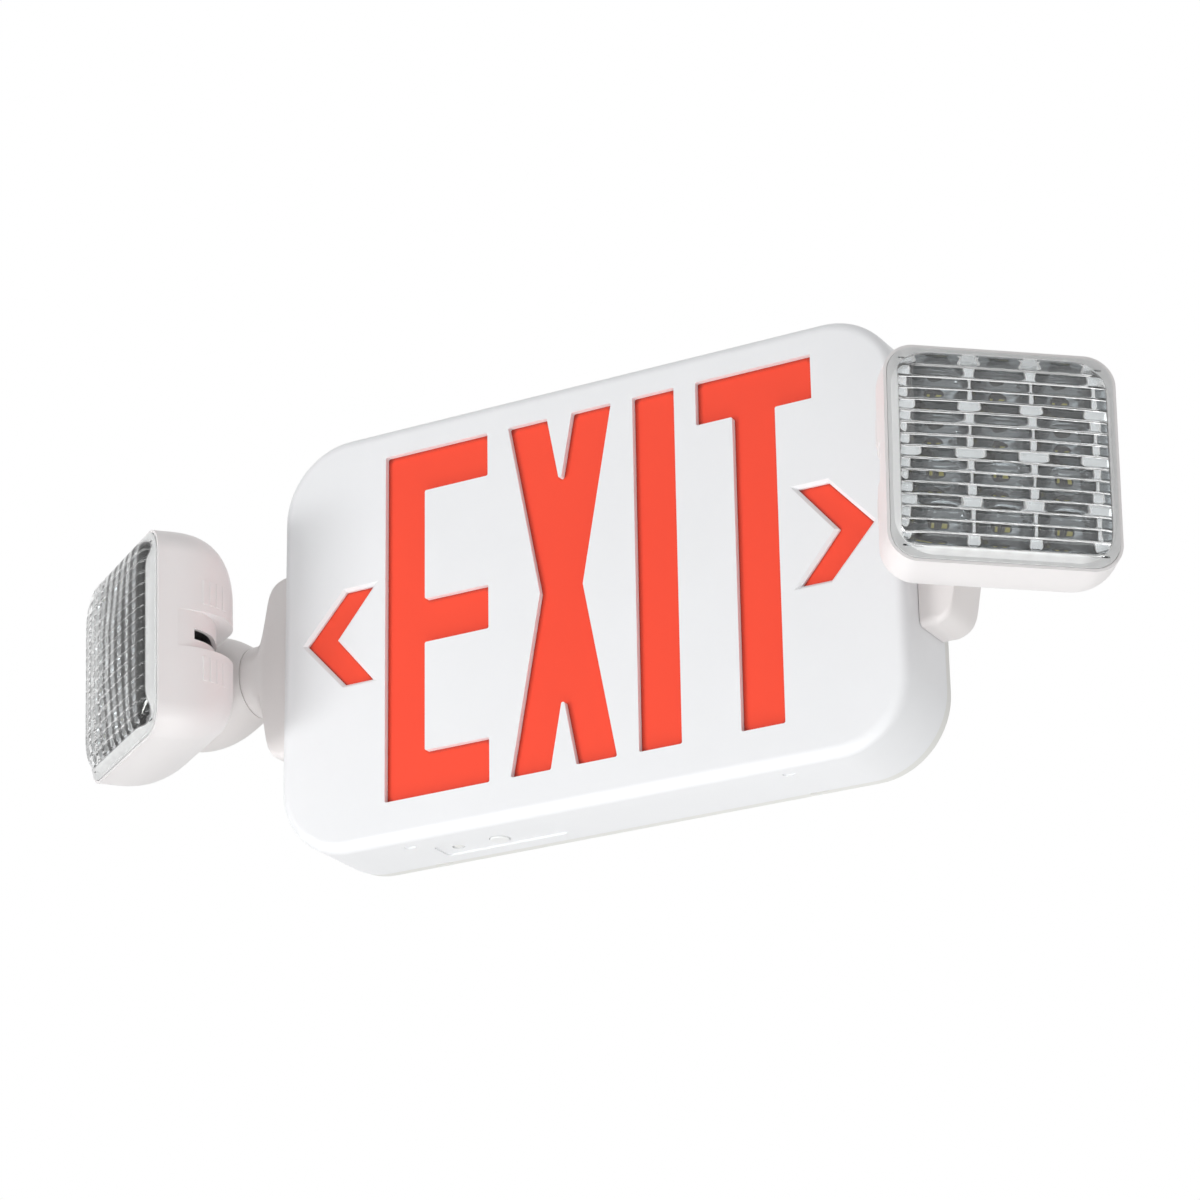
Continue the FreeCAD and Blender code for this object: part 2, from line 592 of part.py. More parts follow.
def makeTransformer():
    # stacked core with two windows, wound on its middle leg
    coreBack = "PlateWall+CoilProud+1"
    core = newBody("transformer_core")
    outline = newSketch(core, "XZ", coreBack)
    drawBox(outline, "TransformerX-CoreWidth/2", "TransformerZ-CoreHeight/2", "CoreWidth", "CoreHeight")
    window = "(CoreWidth/2-CoreYoke-CoreLeg/2)"
    low = "TransformerZ-CoreHeight/2+CoreYoke"
    drawBox(outline, "TransformerX+CoreLeg/2", low, window, "CoreHeight-2*CoreYoke")
    drawBox(outline, "TransformerX-CoreLeg/2-" + window, low, window, "CoreHeight-2*CoreYoke")
    pad(core, outline, "CoreDepth")
    coil = newBody("transformer_coil")
    tall = "(CoreHeight-2*CoreYoke-2*CoilGap)"
    wide = "(CoreWidth-2*CoreYoke-2*CoilGap)"
    wound = newSketch(coil, "XY", "TransformerZ-%s/2" % tall)
    drawBox(wound, "TransformerX-%s/2" % wide, "-(%s)-CoreDepth-CoilProud" % coreBack, wide,
            "CoreDepth+2*CoilProud")
    drawBox(wound, "TransformerX-CoreLeg/2-CoilGap/2", "-(%s)-CoreDepth-CoilGap/2" % coreBack,
            "CoreLeg+CoilGap", "CoreDepth+CoilGap")
    pad(coil, wound, tall)
    return core, coil


def makeBattery():
    # three cells side by side in one shrink sleeve
    body = newBody("battery_pack")
    end = newSketch(body, "YZ", "BatteryX-CellLength/2")
    drawRounded(end, "CellRadius", "3*CellRadius", "CellRadius-0.2", "-PlateWall-CellRadius", "BatteryZ")
    pad(body, end, "CellLength")
    return body


def makeBatteryClip():
    # sprung strap over the pack, a screwed foot at each end
    body = newBody("battery_clip")
    strap = newSketch(body, "YZ", "BatteryX-ClipWidth/2")
    back = "-PlateWall"
    front = "-PlateWall-2*CellRadius-ClipGap"
    inside = "3*CellRadius+ClipGap"
    outside = inside + "+ClipWall"
    foot = outside + "+ClipFoot"
    drawOutline(strap, [
        (back, "BatteryZ+" + inside), (back, "BatteryZ+" + foot),
        (back + "-ClipWall", "BatteryZ+" + foot), (back + "-ClipWall", "BatteryZ+" + outside),
        (front + "-ClipWall", "BatteryZ+" + outside), (front + "-ClipWall", "BatteryZ-(%s)" % outside),
        (back + "-ClipWall", "BatteryZ-(%s)" % outside), (back + "-ClipWall", "BatteryZ-(%s)" % foot),
        (back, "BatteryZ-(%s)" % foot), (back, "BatteryZ-(%s)" % inside),
        (front, "BatteryZ-(%s)" % inside), (front, "BatteryZ+" + inside)])
    pad(body, strap, "ClipWidth")
    holes = newSketch(body, "XZ", "PlateWall+ClipWall")
    for x, z in clipSpots:
        drawCircle(holes, x, z, "ScrewShank")
    pocket(body, holes, "ClipWall")
    return body


def makeTerminal():
    # supply terminals: a stepped block with three wire mouths and screw wells
    body = newBody("terminal_block")
    outline = newSketch(body, "XZ", "PlateWall")
    drawBox(outline, "TerminalX-TerminalWidth/2", "TerminalZ-TerminalHeight/2", "TerminalWidth",
            "TerminalHeight")
    pad(body, outline, "TerminalDepth")
    wells = newSketch(body, "XZ", "PlateWall+TerminalDepth")
    mouths = newSketch(body, "XY", "TerminalZ-TerminalHeight/2")
    for i in (-1, 0, 1):
        x = "TerminalX+%d*TerminalWidth/3" % i
        drawCircle(wells, x, "TerminalZ+1.5", "2.2")
        drawBox(mouths, x + "-2.5", "-PlateWall-8", "5", "5")
    pocket(body, wells, "4")
    pocket(body, mouths, "TerminalHeight/2", reverse=True)
    return body


def makeTestSwitch():
    # side-acting switch on the board's lower edge, its tip over the button
    body = newBody("test_switch")
    low = "BoardBottom+SwitchInset"
    block = newSketch(body, "XZ", boardFront)
    drawBox(block, "ButtonX-SwitchSize/2", low, "SwitchSize", "SwitchHeight")
    pad(body, block, "-PanelY+SwitchSize/2-(%s)" % boardFront)
    tip = newSketch(body, "XY", low)
    drawCircle(tip, "ButtonX", "PanelY", "1.6")
    pad(body, tip, "SwitchTip", reverse=True)
    return body


def drawStepped(sketch, steps):
    # half section of a turned piece: (radius, level) pairs from its axis out
    drawOutline(sketch, [("0", steps[0][1])] + steps + [("0", steps[-1][1])])


def atColumn(sketch, x):
    # moves the sketch's own axes to the column at x
    sketch.setExpression("AttachmentOffset.Base.x", cells(x))
    doc.recompute()
    return sketch


def makeTestButton():
    body = newBody("test_button")
    face = "-HousingHeight/2+PanelRecess-ButtonProud"
    seat = "-HousingHeight/2+CoverWall+0.1"
    top = "BoardBottom+SwitchInset-SwitchTip-StemFree"
    half = atColumn(newSketch(body, "XZ", "-PanelY"), "ButtonX")
    drawStepped(half, [("ButtonRadius", face), ("ButtonRadius", seat), ("ButtonFlange", seat),
                       ("ButtonFlange", seat + "+1.2"), ("StemRadius", seat + "+1.2"),
                       ("StemRadius", top)])
    spin(body, half, (half, ["V_Axis"]))
    low = number(face)
    roundEdges(body, lambda edge: liesAt(edge, 2, low), "0.6")
    return body


def makePilotLamp():
    body = newBody("pilot_lamp")
    seat = "-HousingHeight/2+CoverWall"
    half = atColumn(newSketch(body, "XZ", "-PanelY"), "LampX")
    drawStepped(half, [("LampRadius", seat + "-CoverWall+PanelRecess"), ("LampRadius", seat),
                       ("LampRadius+0.4", seat), ("LampRadius+0.4", seat + "+1")])
    spin(body, half, (half, ["V_Axis"]))
    low = number(seat + "-CoverWall+PanelRecess")
    roundEdges(body, lambda edge: liesAt(edge, 2, low), "LampRound")
    return body


def makeLampHolder():
    body = newBody("lamp_holder")
    block = newSketch(body, "XZ", boardFront)
    low = "-HousingHeight/2+CoverWall+1"
    drawBox(block, "LampX-3", low, "6", "BoardBottom+4-(%s)" % low)
    pad(body, block, "-PanelY+3-(%s)" % boardFront)
    return body


# ---- arms (the left one; the right one is the same set turned over) -------

wallX = "-HousingWidth/2"
tabFace = "-(HousingWidth/2-CoverWall-LipGap)"
seamX = "-(HousingWidth/2+SeamReach)"


def makeArmBase():
    # tall fin on the side wall that draws in to a round hub at the neck's seam
    body = newBody("left_arm_base")
    middle = "((ArmFront-RimDepth)/2)"
    deep = "((-ArmFront-RimDepth)/2)"
    # share of the reach, of the fin's height and of its depth, corner radius
    stations = [(0, 1, 1, 2.5), (0.3, 0.985, 1, 2.5), (0.4, 0.94, 1, 2.5), (0.51, 0.82, 1, 2.8),
                (0.565, 0.64, 1, 3.5), (0.615, 0.42, 0.97, 6), (0.67, 0.22, 0.85, 9.5),
                (0.735, 0.085, 0.6, 12), (0.84, 0.02, 0.22, 13.8), (1, 0, 0, 14.9)]
    sections = []
    for out, tall, thin, corner in stations:
        half = "(HubRadius+(ArmHalf-HubRadius)*%s)" % tall
        depth = "(HubRadius+(%s-HubRadius)*%s)" % (deep, thin)
        centre = "(ArmAxisY+(%s-ArmAxisY)*%s)" % (middle, thin)
        station = newSketch(body, "YZ", "%s-ArmGap-(SeamReach-ArmGap)*%s" % (wallX, out))
        drawRounded(station, depth, half, "HubRadius*%s" % round(corner / 15, 4), centre, "0")
        sections.append(station)
    loft(body, sections)
    stem = newSketch(body, "YZ", wallX + "-ArmGap")
    drawBox(stem, "NotchFront+StemGap", "-NotchHalf+StemGap", "-NotchFront-StemGap-RimDepth-StemGap",
            "2*NotchHalf-2*StemGap")
    pad(body, stem, "CoverWall+LipGap+ArmGap")
    socket = newSketch(body, "YZ", tabFace)
    drawCircle(socket, "ArmAxisY", "0", "SocketRadius")
    pocket(body, socket, "SocketFloor+CoverWall+LipGap")
    bore = newSketch(body, "YZ", tabFace)
    drawCircle(bore, "ArmAxisY", "0", "SpigotRadius+SpigotFit")
    pocket(body, bore, "SeamReach+CoverWall+LipGap+1")
    pilots = newSketch(body, "YZ", tabFace)
    drawCircle(pilots, "ArmAxisY", "ArmScrewZ", "ScrewShank")
    drawCircle(pilots, "ArmAxisY", "-ArmScrewZ", "ScrewShank")
    pocket(body, pilots, "ArmScrewReach+1")
    return body


def makeArmScrews():
    inner = "-(HousingWidth/2-CoverWall-LipGap-TabWall)"
    spots = [("ArmAxisY", "ArmScrewZ"), ("ArmAxisY", "-ArmScrewZ")]
    return makeScrews("left_arm_screws", "YZ", inner, spots, "TabWall+ArmScrewReach")


def makeNeck():
    # elbow: a round seam that fans out tall and thin behind the head, a
    # hollow spigot into the arm base and a flat tongue to the head's pivot
    body = newBody("left_neck")
    stations = [(0, 1, 1), (0.14, 0.97, 0.65), (0.3, 0.92, 0.32), (0.55, 0.84, 0.04),
                (0.8, 0.68, 0), (1, 0.42, 0.12)]
    sections = []
    for along, thick, narrowing in stations:
        # narrowing 1 is the hub's radius, 0 is the full height of the fan
        half = "(HubRadius*%s+NeckHalf*%s)" % (narrowing, round(1 - narrowing, 3))
        deep = "HubRadius*%s" % thick
        station = newSketch(body, "YZ", "%s-SeamGap-(NeckLength-SeamGap)*%s" % (seamX, along))
        drawRounded(station, deep, half, deep + "*0.96", "ArmAxisY+NeckBack*%s" % round(along ** 2, 3), "0")
        sections.append(station)
    loft(body, sections)
    end = number(seamX + "-NeckLength")
    roundEdges(body, lambda edge: liesAt(edge, 0, end), "NeckRound")
    spigot = newSketch(body, "YZ", seamX + "-SeamGap")
    drawCircle(spigot, "ArmAxisY", "0", "SpigotRadius")
    ring = "(SeamReach-SocketFloor+WasherWall)"
    pad(body, spigot, "SeamGap+" + ring + "+RingWall+RingEnd")
    groove = newSketch(body, "YZ", seamX + "+" + ring)
    drawCircle(groove, "ArmAxisY", "0", "SpigotRadius+1")
    drawCircle(groove, "ArmAxisY", "0", "SpigotRadius-RingGroove")
    pocket(body, groove, "RingWall", reverse=True)
    tongue = newSketch(body, "XY")
    drawOutline(tongue, [
        ("-PivotX-EyeRadius", "PivotY"), ("-PivotX+EyeRadius", "PivotY"),
        ("-PivotX+TongueWidth/2", "ArmAxisY-TongueRoot"),
        ("-PivotX-TongueWidth/2", "ArmAxisY-TongueRoot")])
    pad(body, tongue, "TongueWall", both=True)
    eye = newSketch(body, "XY")
    drawCircle(eye, "-PivotX", "PivotY", "EyeRadius")
    pad(body, eye, "TongueWall", both=True)
    hole = newSketch(body, "XY")
    drawCircle(hole, "-PivotX", "PivotY", "PinRadius+PinFit")
    pocket(body, hole, "2*TongueWall", both=True)
    lead = newSketch(body, "YZ", seamX + "+%s+RingWall+RingEnd" % ring)
    drawCircle(lead, "ArmAxisY", "0", "SpigotBore")
    pocket(body, lead, ring + "+RingWall+RingEnd+NeckLength/3")
    return body


def makeRing(label, start, wall, outer, inner):
    body = newBody(label)
    outline = newSketch(body, "YZ", start)
    drawCircle(outline, "ArmAxisY", "0", outer)
    drawCircle(outline, "ArmAxisY", "0", inner)
    pad(body, outline, wall)
    return body


# ---- lamp heads: modelled facing front, with the pivot at the origin ------

def neckTilt():
    # the necks are stored turned a little in their arm bases
    turn = FreeCAD.Rotation(FreeCAD.Vector(1, 0, 0), number("NeckTilt"))
    axis = FreeCAD.Vector(0, number("ArmAxisY"), 0)
    return FreeCAD.Placement(FreeCAD.Vector(0, 0, 0), turn, axis)


def turnHead(part):
    # stands the piece on the neck's pivot, turned outward
    turn = FreeCAD.Rotation(FreeCAD.Vector(0, 0, 1), -number("HeadTurn"))
    pivot = FreeCAD.Vector(-number("PivotX"), number("PivotY"), number("HeadLift"))
    part.Placement = neckTilt().multiply(FreeCAD.Placement(pivot, turn))


def headStations(body, inset, cap):
    # rounded squares from the rim back, closing along a quarter ellipse
    sections = []
    turns = (None, 0, 30, 55, 75, 90)
    for turn in turns:
        fall = "cos(%d)" % (turn or 0)
        depth = "0"
        if turn is not None:
            depth = "(SideStraight+(HeadDepth-SideStraight-(%s))*sin(%d))" % (cap, turn)
        wide = "(BackHalfWidth+(HeadHalf-BackHalfWidth)*%s-(%s))" % (fall, inset)
        tall = "(BackHalfHeight+(HeadHalf-BackHalfHeight)*%s-(%s))" % (fall, inset)
        corner = "(BackCorner+(HeadCorner-BackCorner)*%s-(%s))" % (fall, inset)
        station = newSketch(body, "XZ", "PivotDepth-" + depth)
        drawRounded(station, wide, tall, corner)
        sections.append(station)
    return sections


def drawArch(sketch, inset, open_to):
    # three-centred arch round the back of the head: small arcs at the
    # sides, one wide arc at the crown, closed along the straight open_to
    side = "(HeadHalf-ChannelSide-(%s))" % inset
    corner = "(ChannelRound-(%s))" % inset
    spring = "(ChannelStart-PivotDepth)"
    rise = "(HeadDepth-ChannelBack-ChannelStart-(%s))" % inset
    offset = "(%s-%s)" % (side, corner)
    over = "(%s-%s)" % (rise, corner)
    drop = "((%s^2-%s^2)/(2*%s))" % (offset, over, over)
    lean = math.atan2(number(drop), number(offset))
    crown = number(rise) + number(drop)
    up = FreeCAD.Vector(0, 0, 1)
    hinge = number(spring)
    centres = [FreeCAD.Vector(number(offset), hinge, 0),
               FreeCAD.Vector(0, hinge - number(drop), 0),
               FreeCAD.Vector(-number(offset), hinge, 0)]
    radii = [number(corner), crown, number(corner)]
    turns = [0, lean, math.pi - lean, math.pi]
    arcs = []
    for i in range(3):
        arc = Part.ArcOfCircle(Part.Circle(centres[i], up, radii[i]), turns[i], turns[i + 1])
        arcs.append(sketch.addGeometry(arc, False))
    for before, after in zip(arcs, arcs[1:]):
        sketch.addConstraint(Sketcher.Constraint("Tangent", before, 2, after, 1))
    placePoint(sketch, arcs[0], 3, offset, spring)
    placePoint(sketch, arcs[2], 3, "-" + offset, spring)
    for arc, size in zip(arcs, (corner, "%s+%s" % (rise, drop), corner)):
        bind(sketch, Sketcher.Constraint("Radius", arc, number(size)), size)
    ends = [sketch.getPoint(arcs[0], 1), sketch.getPoint(arcs[2], 2)]
    outline = [FreeCAD.Vector(number(x), number(y), 0) for x, y in open_to]
    path = [ends[0]] + outline + [ends[1]]
    lines = [straight(sketch, path[i], path[i + 1]) for i in range(len(path) - 1)]
    sketch.addConstraint(Sketcher.Constraint("Coincident", lines[0], 1, arcs[0], 1))
    sketch.addConstraint(Sketcher.Constraint("Coincident", lines[-1], 2, arcs[2], 2))
    for before, after in zip(lines, lines[1:]):
        sketch.addConstraint(Sketcher.Constraint("Coincident", before, 2, after, 1))
    for line, (x, y) in zip(lines[1:], open_to):
        placePoint(sketch, line, 1, x, y)
    for arc, point in ((arcs[0], 1), (arcs[2], 2)):
        bind(sketch, Sketcher.Constraint("DistanceY", -1, 1, arc, point, hinge), spring)


def makeHeadCavity():
    # the hollow of a lamp head, above and below the channel's own walls
    body = newBody("head_cavity")
    body.AllowCompound = True
    loft(body, headStations(body, "HeadWall", "HeadWall"))
    slab = newSketch(body, "XZ", "PivotDepth")
    drawBox(slab, "-HeadHalf", "-ChannelHalf-BandWall", "2*HeadHalf", "2*(ChannelHalf+BandWall)")
    pocket(body, slab, "HeadDepth")
    return body


def makeHeadShell():
    # moulded shell with a channel sunk round its back for the tongue to travel
    body = newBody("left_head_shell")
    loft(body, headStations(body, "0", "0"))
    cavity = body.newObject("PartDesign::Boolean", "left_head_shell_hollow")
    cavity.Type = "Cut"
    cavity.setObjects([makeHeadCavity()])
    finish(body, cavity)

    rim = "-PivotDepth-1"
    inner = "(HeadHalf-ChannelSide-BandWall)"
    hollow = newSketch(body, "XY")
    drawArch(hollow, "BandWall", [(inner, rim), ("-" + inner, rim)])
    pocket(body, hollow, "2*(ChannelHalf+BandWall)+0.01", both=True)
    channel = newSketch(body, "XY")
    spring = "ChannelStart-PivotDepth"
    far = "HeadHalf+5"
    drawArch(channel, "0", [(far, spring), (far, "HeadDepth"), ("-(%s)" % far, "HeadDepth"),
                            ("-(%s)" % far, spring)])
    pocket(body, channel, "2*ChannelHalf", both=True)
    window = newSketch(body, "XY", "-HeadLift")
    drawBox(window, "-HeadHalf-5", "WindowStart-PivotDepth", "2*HeadHalf+10", "HeadDepth")
    pocket(body, window, "2*WindowHalf", both=True)
    rebate = newSketch(body, "XZ", "PivotDepth")
    drawRounded(rebate, "HeadHalf-RebateWall", "HeadHalf-RebateWall", "HeadCorner-RebateWall")
    pocket(body, rebate, "RebateDepth")

    # two columns that meet the tongue's eye, and the pin's hole in them
    fall = "sqrt(1-((PivotDepth+BossRadius-SideStraight)/(HeadDepth-SideStraight))^2)"
    roof = "BackHalfHeight+(HeadHalf-BackHalfHeight)*%s-HeadWall/2" % fall
    for side in (-1, 1):
        start = "(%d*(TongueWall/2+BossGap)-HeadLift)" % side
        column = newSketch(body, "XY", start)
        drawCircle(column, "0", "0", "BossRadius")
        pad(body, column, "%s-%d*%s" % (roof, side, start), reverse=side < 0)
    hole = newSketch(body, "XY")
    drawCircle(hole, "0", "0", "PinRadius")
    pocket(body, hole, "2*PinHalf", both=True)

    # posts for the lamp board, from the back wall forward
    posts = newSketch(body, "XZ", "PivotDepth-(%s)-BoardWall" % boardDepth)
    for x, z in headPosts:
        drawCircle(posts, x, z, "HeadPost")
    pad(body, posts, "HeadDepth-HeadWall/2-(%s)-BoardWall" % boardDepth, reverse=True)
    pilots = newSketch(body, "XZ", "PivotDepth-(%s)-BoardWall" % boardDepth)
    for x, z in headPosts:
        drawCircle(pilots, x, z, "ScrewShank")
    pocket(body, pilots, "2*ScrewReach")
    return body


boardDepth = "RebateDepth+LensBack+ReflectorDepth"
headPosts = [("%d*ColumnPitch/2" % x, "%d*RowPitch" % z) for x in (-1, 1) for z in (-1, 1)]


def drawFlutes(sketch):
    # roof of the lens's hollow: convex flutes between cusps that follow a bow
    count = 16
    cusps = []
    for i in range(count + 1):
        across = round(2 * i / count - 1, 4)
        depth = "-(PivotDepth+FluteEdge+FluteRise*%s)" % round(1 - across ** 2, 4)
        cusps.append((depth, "FluteHalf*%s" % across))
    spots = [FreeCAD.Vector(number(y), number(z), 0) for y, z in cusps]
    arcs = []
    for low, high in zip(spots, spots[1:]):
        bow = number("FluteRadius")
        chord = (high - low).Length
        sag = bow - math.sqrt(bow ** 2 - chord ** 2 / 4)
        middle = (low + high) * 0.5 + FreeCAD.Vector(sag, 0, 0)
        arcs.append(sketch.addGeometry(Part.Arc(low, middle, high), False))
    for before, after in zip(arcs, arcs[1:]):
        sketch.addConstraint(Sketcher.Constraint("Coincident", before, 2, after, 1))
    for arc, (y, z) in zip(arcs, cusps):
        placePoint(sketch, arc, 1, y, z)
        bind(sketch, Sketcher.Constraint("Radius", arc, number("FluteRadius")), "FluteRadius")
    placePoint(sketch, arcs[-1], 2, *cusps[-1])
    back = "RebateDepth-PivotDepth+1"
    corners = [spots[-1], FreeCAD.Vector(number(back), spots[-1].y, 0),
               FreeCAD.Vector(number(back), spots[0].y, 0), spots[0]]
    lines = [straight(sketch, corners[i], corners[i + 1]) for i in range(3)]
    sketch.addConstraint(Sketcher.Constraint("Coincident", arcs[-1], 2, lines[0], 1))
    sketch.addConstraint(Sketcher.Constraint("Coincident", lines[0], 2, lines[1], 1))
    sketch.addConstraint(Sketcher.Constraint("Coincident", lines[1], 2, lines[2], 1))
    sketch.addConstraint(Sketcher.Constraint("Coincident", lines[2], 2, arcs[0], 1))
    placePoint(sketch, lines[1], 1, back, "FluteHalf")
    placePoint(sketch, lines[1], 2, back, "-FluteHalf")


def makeLens():
    # clear pillow: a flange in the rebate, a steep border, a domed field
    body = newBody("left_lens")
    half = "(HeadHalf-RebateWall-LensGap)"
    corner = "(HeadCorner-RebateWall-LensGap)"
    flange = newSketch(body, "XZ", "PivotDepth-RebateDepth")
    drawRounded(flange, half, half, corner)
    pad(body, flange, "RebateDepth+LensProud")
    sections = []
    for share, rise in ((1, 0), (0.975, 0.3), (0.94, 0.52), (0.88, 0.66), (0.7, 0.8),
                        (0.4, 0.95), (0.12, 1)):
        size = "LensField*%s" % share
        station = newSketch(body, "XZ", "PivotDepth+LensProud+LensBulge*%s" % rise)
        drawRounded(station, size, size, "LensField*%s" % round(share * 0.36, 4))
        sections.append(station)
    loft(body, sections)
    hollow = newSketch(body, "YZ")
    drawFlutes(hollow)
    pocket(body, hollow, "2*FluteHalf", both=True)
    return body


def makeReflector():
    # metallised moulding of overlapping cups, three columns by four rows
    body = newBody("left_reflector")
    front = "(RebateDepth+LensBack)"
    outline = newSketch(body, "XZ", "PivotDepth-" + front)
    drawRounded(outline, "ReflectorHalf", "ReflectorHalf", "ReflectorCorner")
    pad(body, outline, "ReflectorDepth", reverse=True)
    cup = atColumn(newSketch(body, "XY", "-1.5*RowPitch"), "-ColumnPitch")
    near = number(front + "-PivotDepth")
    far = number(boardDepth + "-PivotDepth")
    wide = number("CupRadius")
    throat = number("CupThroat")
    V = FreeCAD.Vector
    bow = V((wide + throat) / 2 + 1.2, (near + far) / 2 + 1.2, 0)
    wall = cup.addGeometry(Part.Arc(V(wide, near, 0), bow, V(throat, far, 0)), False)
    path = [(throat, far), (0, far), (0, near), (wide, near)]
    lines = [straight(cup, V(*path[i], 0), V(*path[i + 1], 0)) for i in range(3)]
    for before, after in zip(lines, lines[1:]):
        cup.addConstraint(Sketcher.Constraint("Coincident", before, 2, after, 1))
    arcEnds = (1, 2) if cup.getPoint(wall, 1).x < cup.getPoint(wall, 2).x else (2, 1)
    cup.addConstraint(Sketcher.Constraint("Coincident", lines[0], 1, wall, arcEnds[0]))
    cup.addConstraint(Sketcher.Constraint("Coincident", lines[2], 2, wall, arcEnds[1]))
    placePoint(cup, lines[0], 1, "CupThroat", boardDepth + "-PivotDepth")
    placePoint(cup, lines[1], 1, "0", boardDepth + "-PivotDepth")
    placePoint(cup, lines[2], 1, "0", front + "-PivotDepth")
    placePoint(cup, lines[2], 2, "CupRadius", front + "-PivotDepth")
    bind(cup, Sketcher.Constraint("Radius", wall, number("CupCurve")), "CupCurve")
    turned = spin(body, cup, (cup, ["V_Axis"]), cut=True)
    columns = pattern(body, turned, (cup, ["H_Axis"]), "ColumnPitch", 3)
    columns.Direction2 = (cup, ["N_Axis"])
    columns.Mode2 = "Spacing"
    columns.setExpression("Offset2", cells("RowPitch"))
    columns.Occurrences2 = 4
    finish(body, columns)
    wells = newSketch(body, "XZ", "PivotDepth-(%s)" % boardDepth)
    for x, z in headPosts:
        drawCircle(wells, x, z, "ScrewHead+0.4")
    pocket(body, wells, "ScrewHeadHeight+0.4", reverse=True)
    return body


def makeLampBoard():
    body = newBody("left_lamp_board")
    outline = newSketch(body, "XZ", "PivotDepth-(%s)" % boardDepth)
    drawRounded(outline, "ReflectorHalf", "ReflectorHalf", "ReflectorCorner")
    for x, z in headPosts:
        drawCircle(outline, x, z, "ScrewShank")
    pad(body, outline, "BoardWall", reverse=True)
    return body


def makeLampChips():
    # a pair of emitters in the throat of each cup
    body = newBody("left_lamp_chips")
    body.AllowCompound = True
    pair = atColumn(newSketch(body, "XZ", "PivotDepth-(%s)" % boardDepth), "-ColumnPitch")
    for side in (-1, 1):
        drawBox(pair, "%d*ChipPitch/2-ChipWide/2" % side, "-1.5*RowPitch-ChipTall/2", "ChipWide",
                "ChipTall")
    lamps = pad(body, pair, "ChipHeight")
    rows = pattern(body, lamps, (pair, ["H_Axis"]), "ColumnPitch", 3)
    rows.Direction2 = (pair, ["V_Axis"])
    rows.Mode2 = "Spacing"
    rows.setExpression("Offset2", cells("RowPitch"))
    rows.Occurrences2 = 4
    finish(body, rows)
    return body


def makePivotPin():
    body = newBody("left_pivot_pin")
    outline = newSketch(body, "XY")
    drawCircle(outline, "0", "0", "PinRadius")
    pad(body, outline, "2*PinHalf", both=True)
    return body


def makeArm():
    ring = "(HousingWidth/2+SocketFloor-WasherWall)"
    washer = makeRing("left_neck_washer", "-(HousingWidth/2+SocketFloor)", "WasherWall",
                      "RingRadius", "SpigotRadius+WasherFit")
    clip = makeRing("left_neck_ring", "-" + ring, "RingWall", "RingRadius", "SpigotRadius-RingGroove")
    neck = makeNeck()
    for part in (neck, washer, clip):
        part.Placement = neckTilt()
    return [makeArmBase(), makeArmScrews(), neck, washer, clip]


def makeHead():
    screws = makeScrews("left_head_screws", "XZ", "PivotDepth-(%s)" % boardDepth, headPosts,
                        "BoardWall+ScrewReach")
    parts = [makeHeadShell(), makeLens(), makeReflector(), makeLampBoard(), makeLampChips(),
             makePivotPin(), screws]
    for part in parts:
        turnHead(part)
    return parts


def makeHousing():
    return [makeCover(), makeBackPlate(), makeDiffuser(),
            makeStrip("upper_lamp_strip", "StripLift"), makeStrip("lower_lamp_strip", "-StripLift"),
            makeSignLeds(), makeChargerBoard(), makeRelay(), makeCapacitor(), *makeTransformer(),
            makeBattery(), makeBatteryClip(), makeTerminal(), makeTestSwitch(), makeTestButton(),
            makePilotLamp(), makeLampHolder(),
            makeScrews("board_screws", "XZ", boardFront, boardCorners, "BoardWall+ScrewReach"),
            makeScrews("strip_screws", "XZ", "StripStandoff+BoardWall", stripSpots,
                       "BoardWall+ScrewReach"),
            makeScrews("clip_screws", "XZ", "PlateWall+ClipWall", clipSpots,
                       "ClipWall+PlateWall-0.5")]


def checkParts(parts):
    doc.recompute()
    for item in doc.Objects:
        for word in ("Invalid", "Error"):
            if word in item.State:
                raise RuntimeError(item.Label + " failed to recompute")
    for part in parts:
        if part.Shape.isNull() or not part.Shape.isValid():
            raise RuntimeError(part.Label + " has no valid shape")


fillSheet()
sided = makeArm() + makeHead()
parts = makeHousing() + sided
for left in sided:
    parts.append(turnedOver(left, left.Label.replace("left", "right")))
checkParts(parts)
os.makedirs("parts", exist_ok=True)
for part in parts:
    part.Shape.exportStep("parts/%s.step" % part.Label)
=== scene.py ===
import bpy
import bmesh
import json
import math
from mathutils import Matrix, Vector


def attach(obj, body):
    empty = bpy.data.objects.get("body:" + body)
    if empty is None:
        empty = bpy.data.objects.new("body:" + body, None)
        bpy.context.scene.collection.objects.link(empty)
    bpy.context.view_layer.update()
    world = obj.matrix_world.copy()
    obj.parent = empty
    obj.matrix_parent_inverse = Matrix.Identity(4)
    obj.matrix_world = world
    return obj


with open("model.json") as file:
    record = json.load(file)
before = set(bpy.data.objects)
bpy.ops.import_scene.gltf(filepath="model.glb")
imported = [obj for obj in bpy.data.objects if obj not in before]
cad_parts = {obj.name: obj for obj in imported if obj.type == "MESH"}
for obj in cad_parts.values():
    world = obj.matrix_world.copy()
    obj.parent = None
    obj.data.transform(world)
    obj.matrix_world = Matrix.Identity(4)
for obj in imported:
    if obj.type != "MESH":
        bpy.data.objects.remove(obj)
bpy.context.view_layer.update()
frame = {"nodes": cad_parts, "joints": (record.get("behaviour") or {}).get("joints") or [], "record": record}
nodes = frame["nodes"]
print("frame loaded:", len(nodes), "nodes")


def hexColour(text):
    # sRGB hex to the linear colour a socket wants
    channels = [int(text[i:i + 2], 16) / 255 for i in (1, 3, 5)]
    linear = [c / 12.92 if c <= 0.04045 else ((c + 0.055) / 1.055) ** 2.4 for c in channels]
    return (*linear, 1)


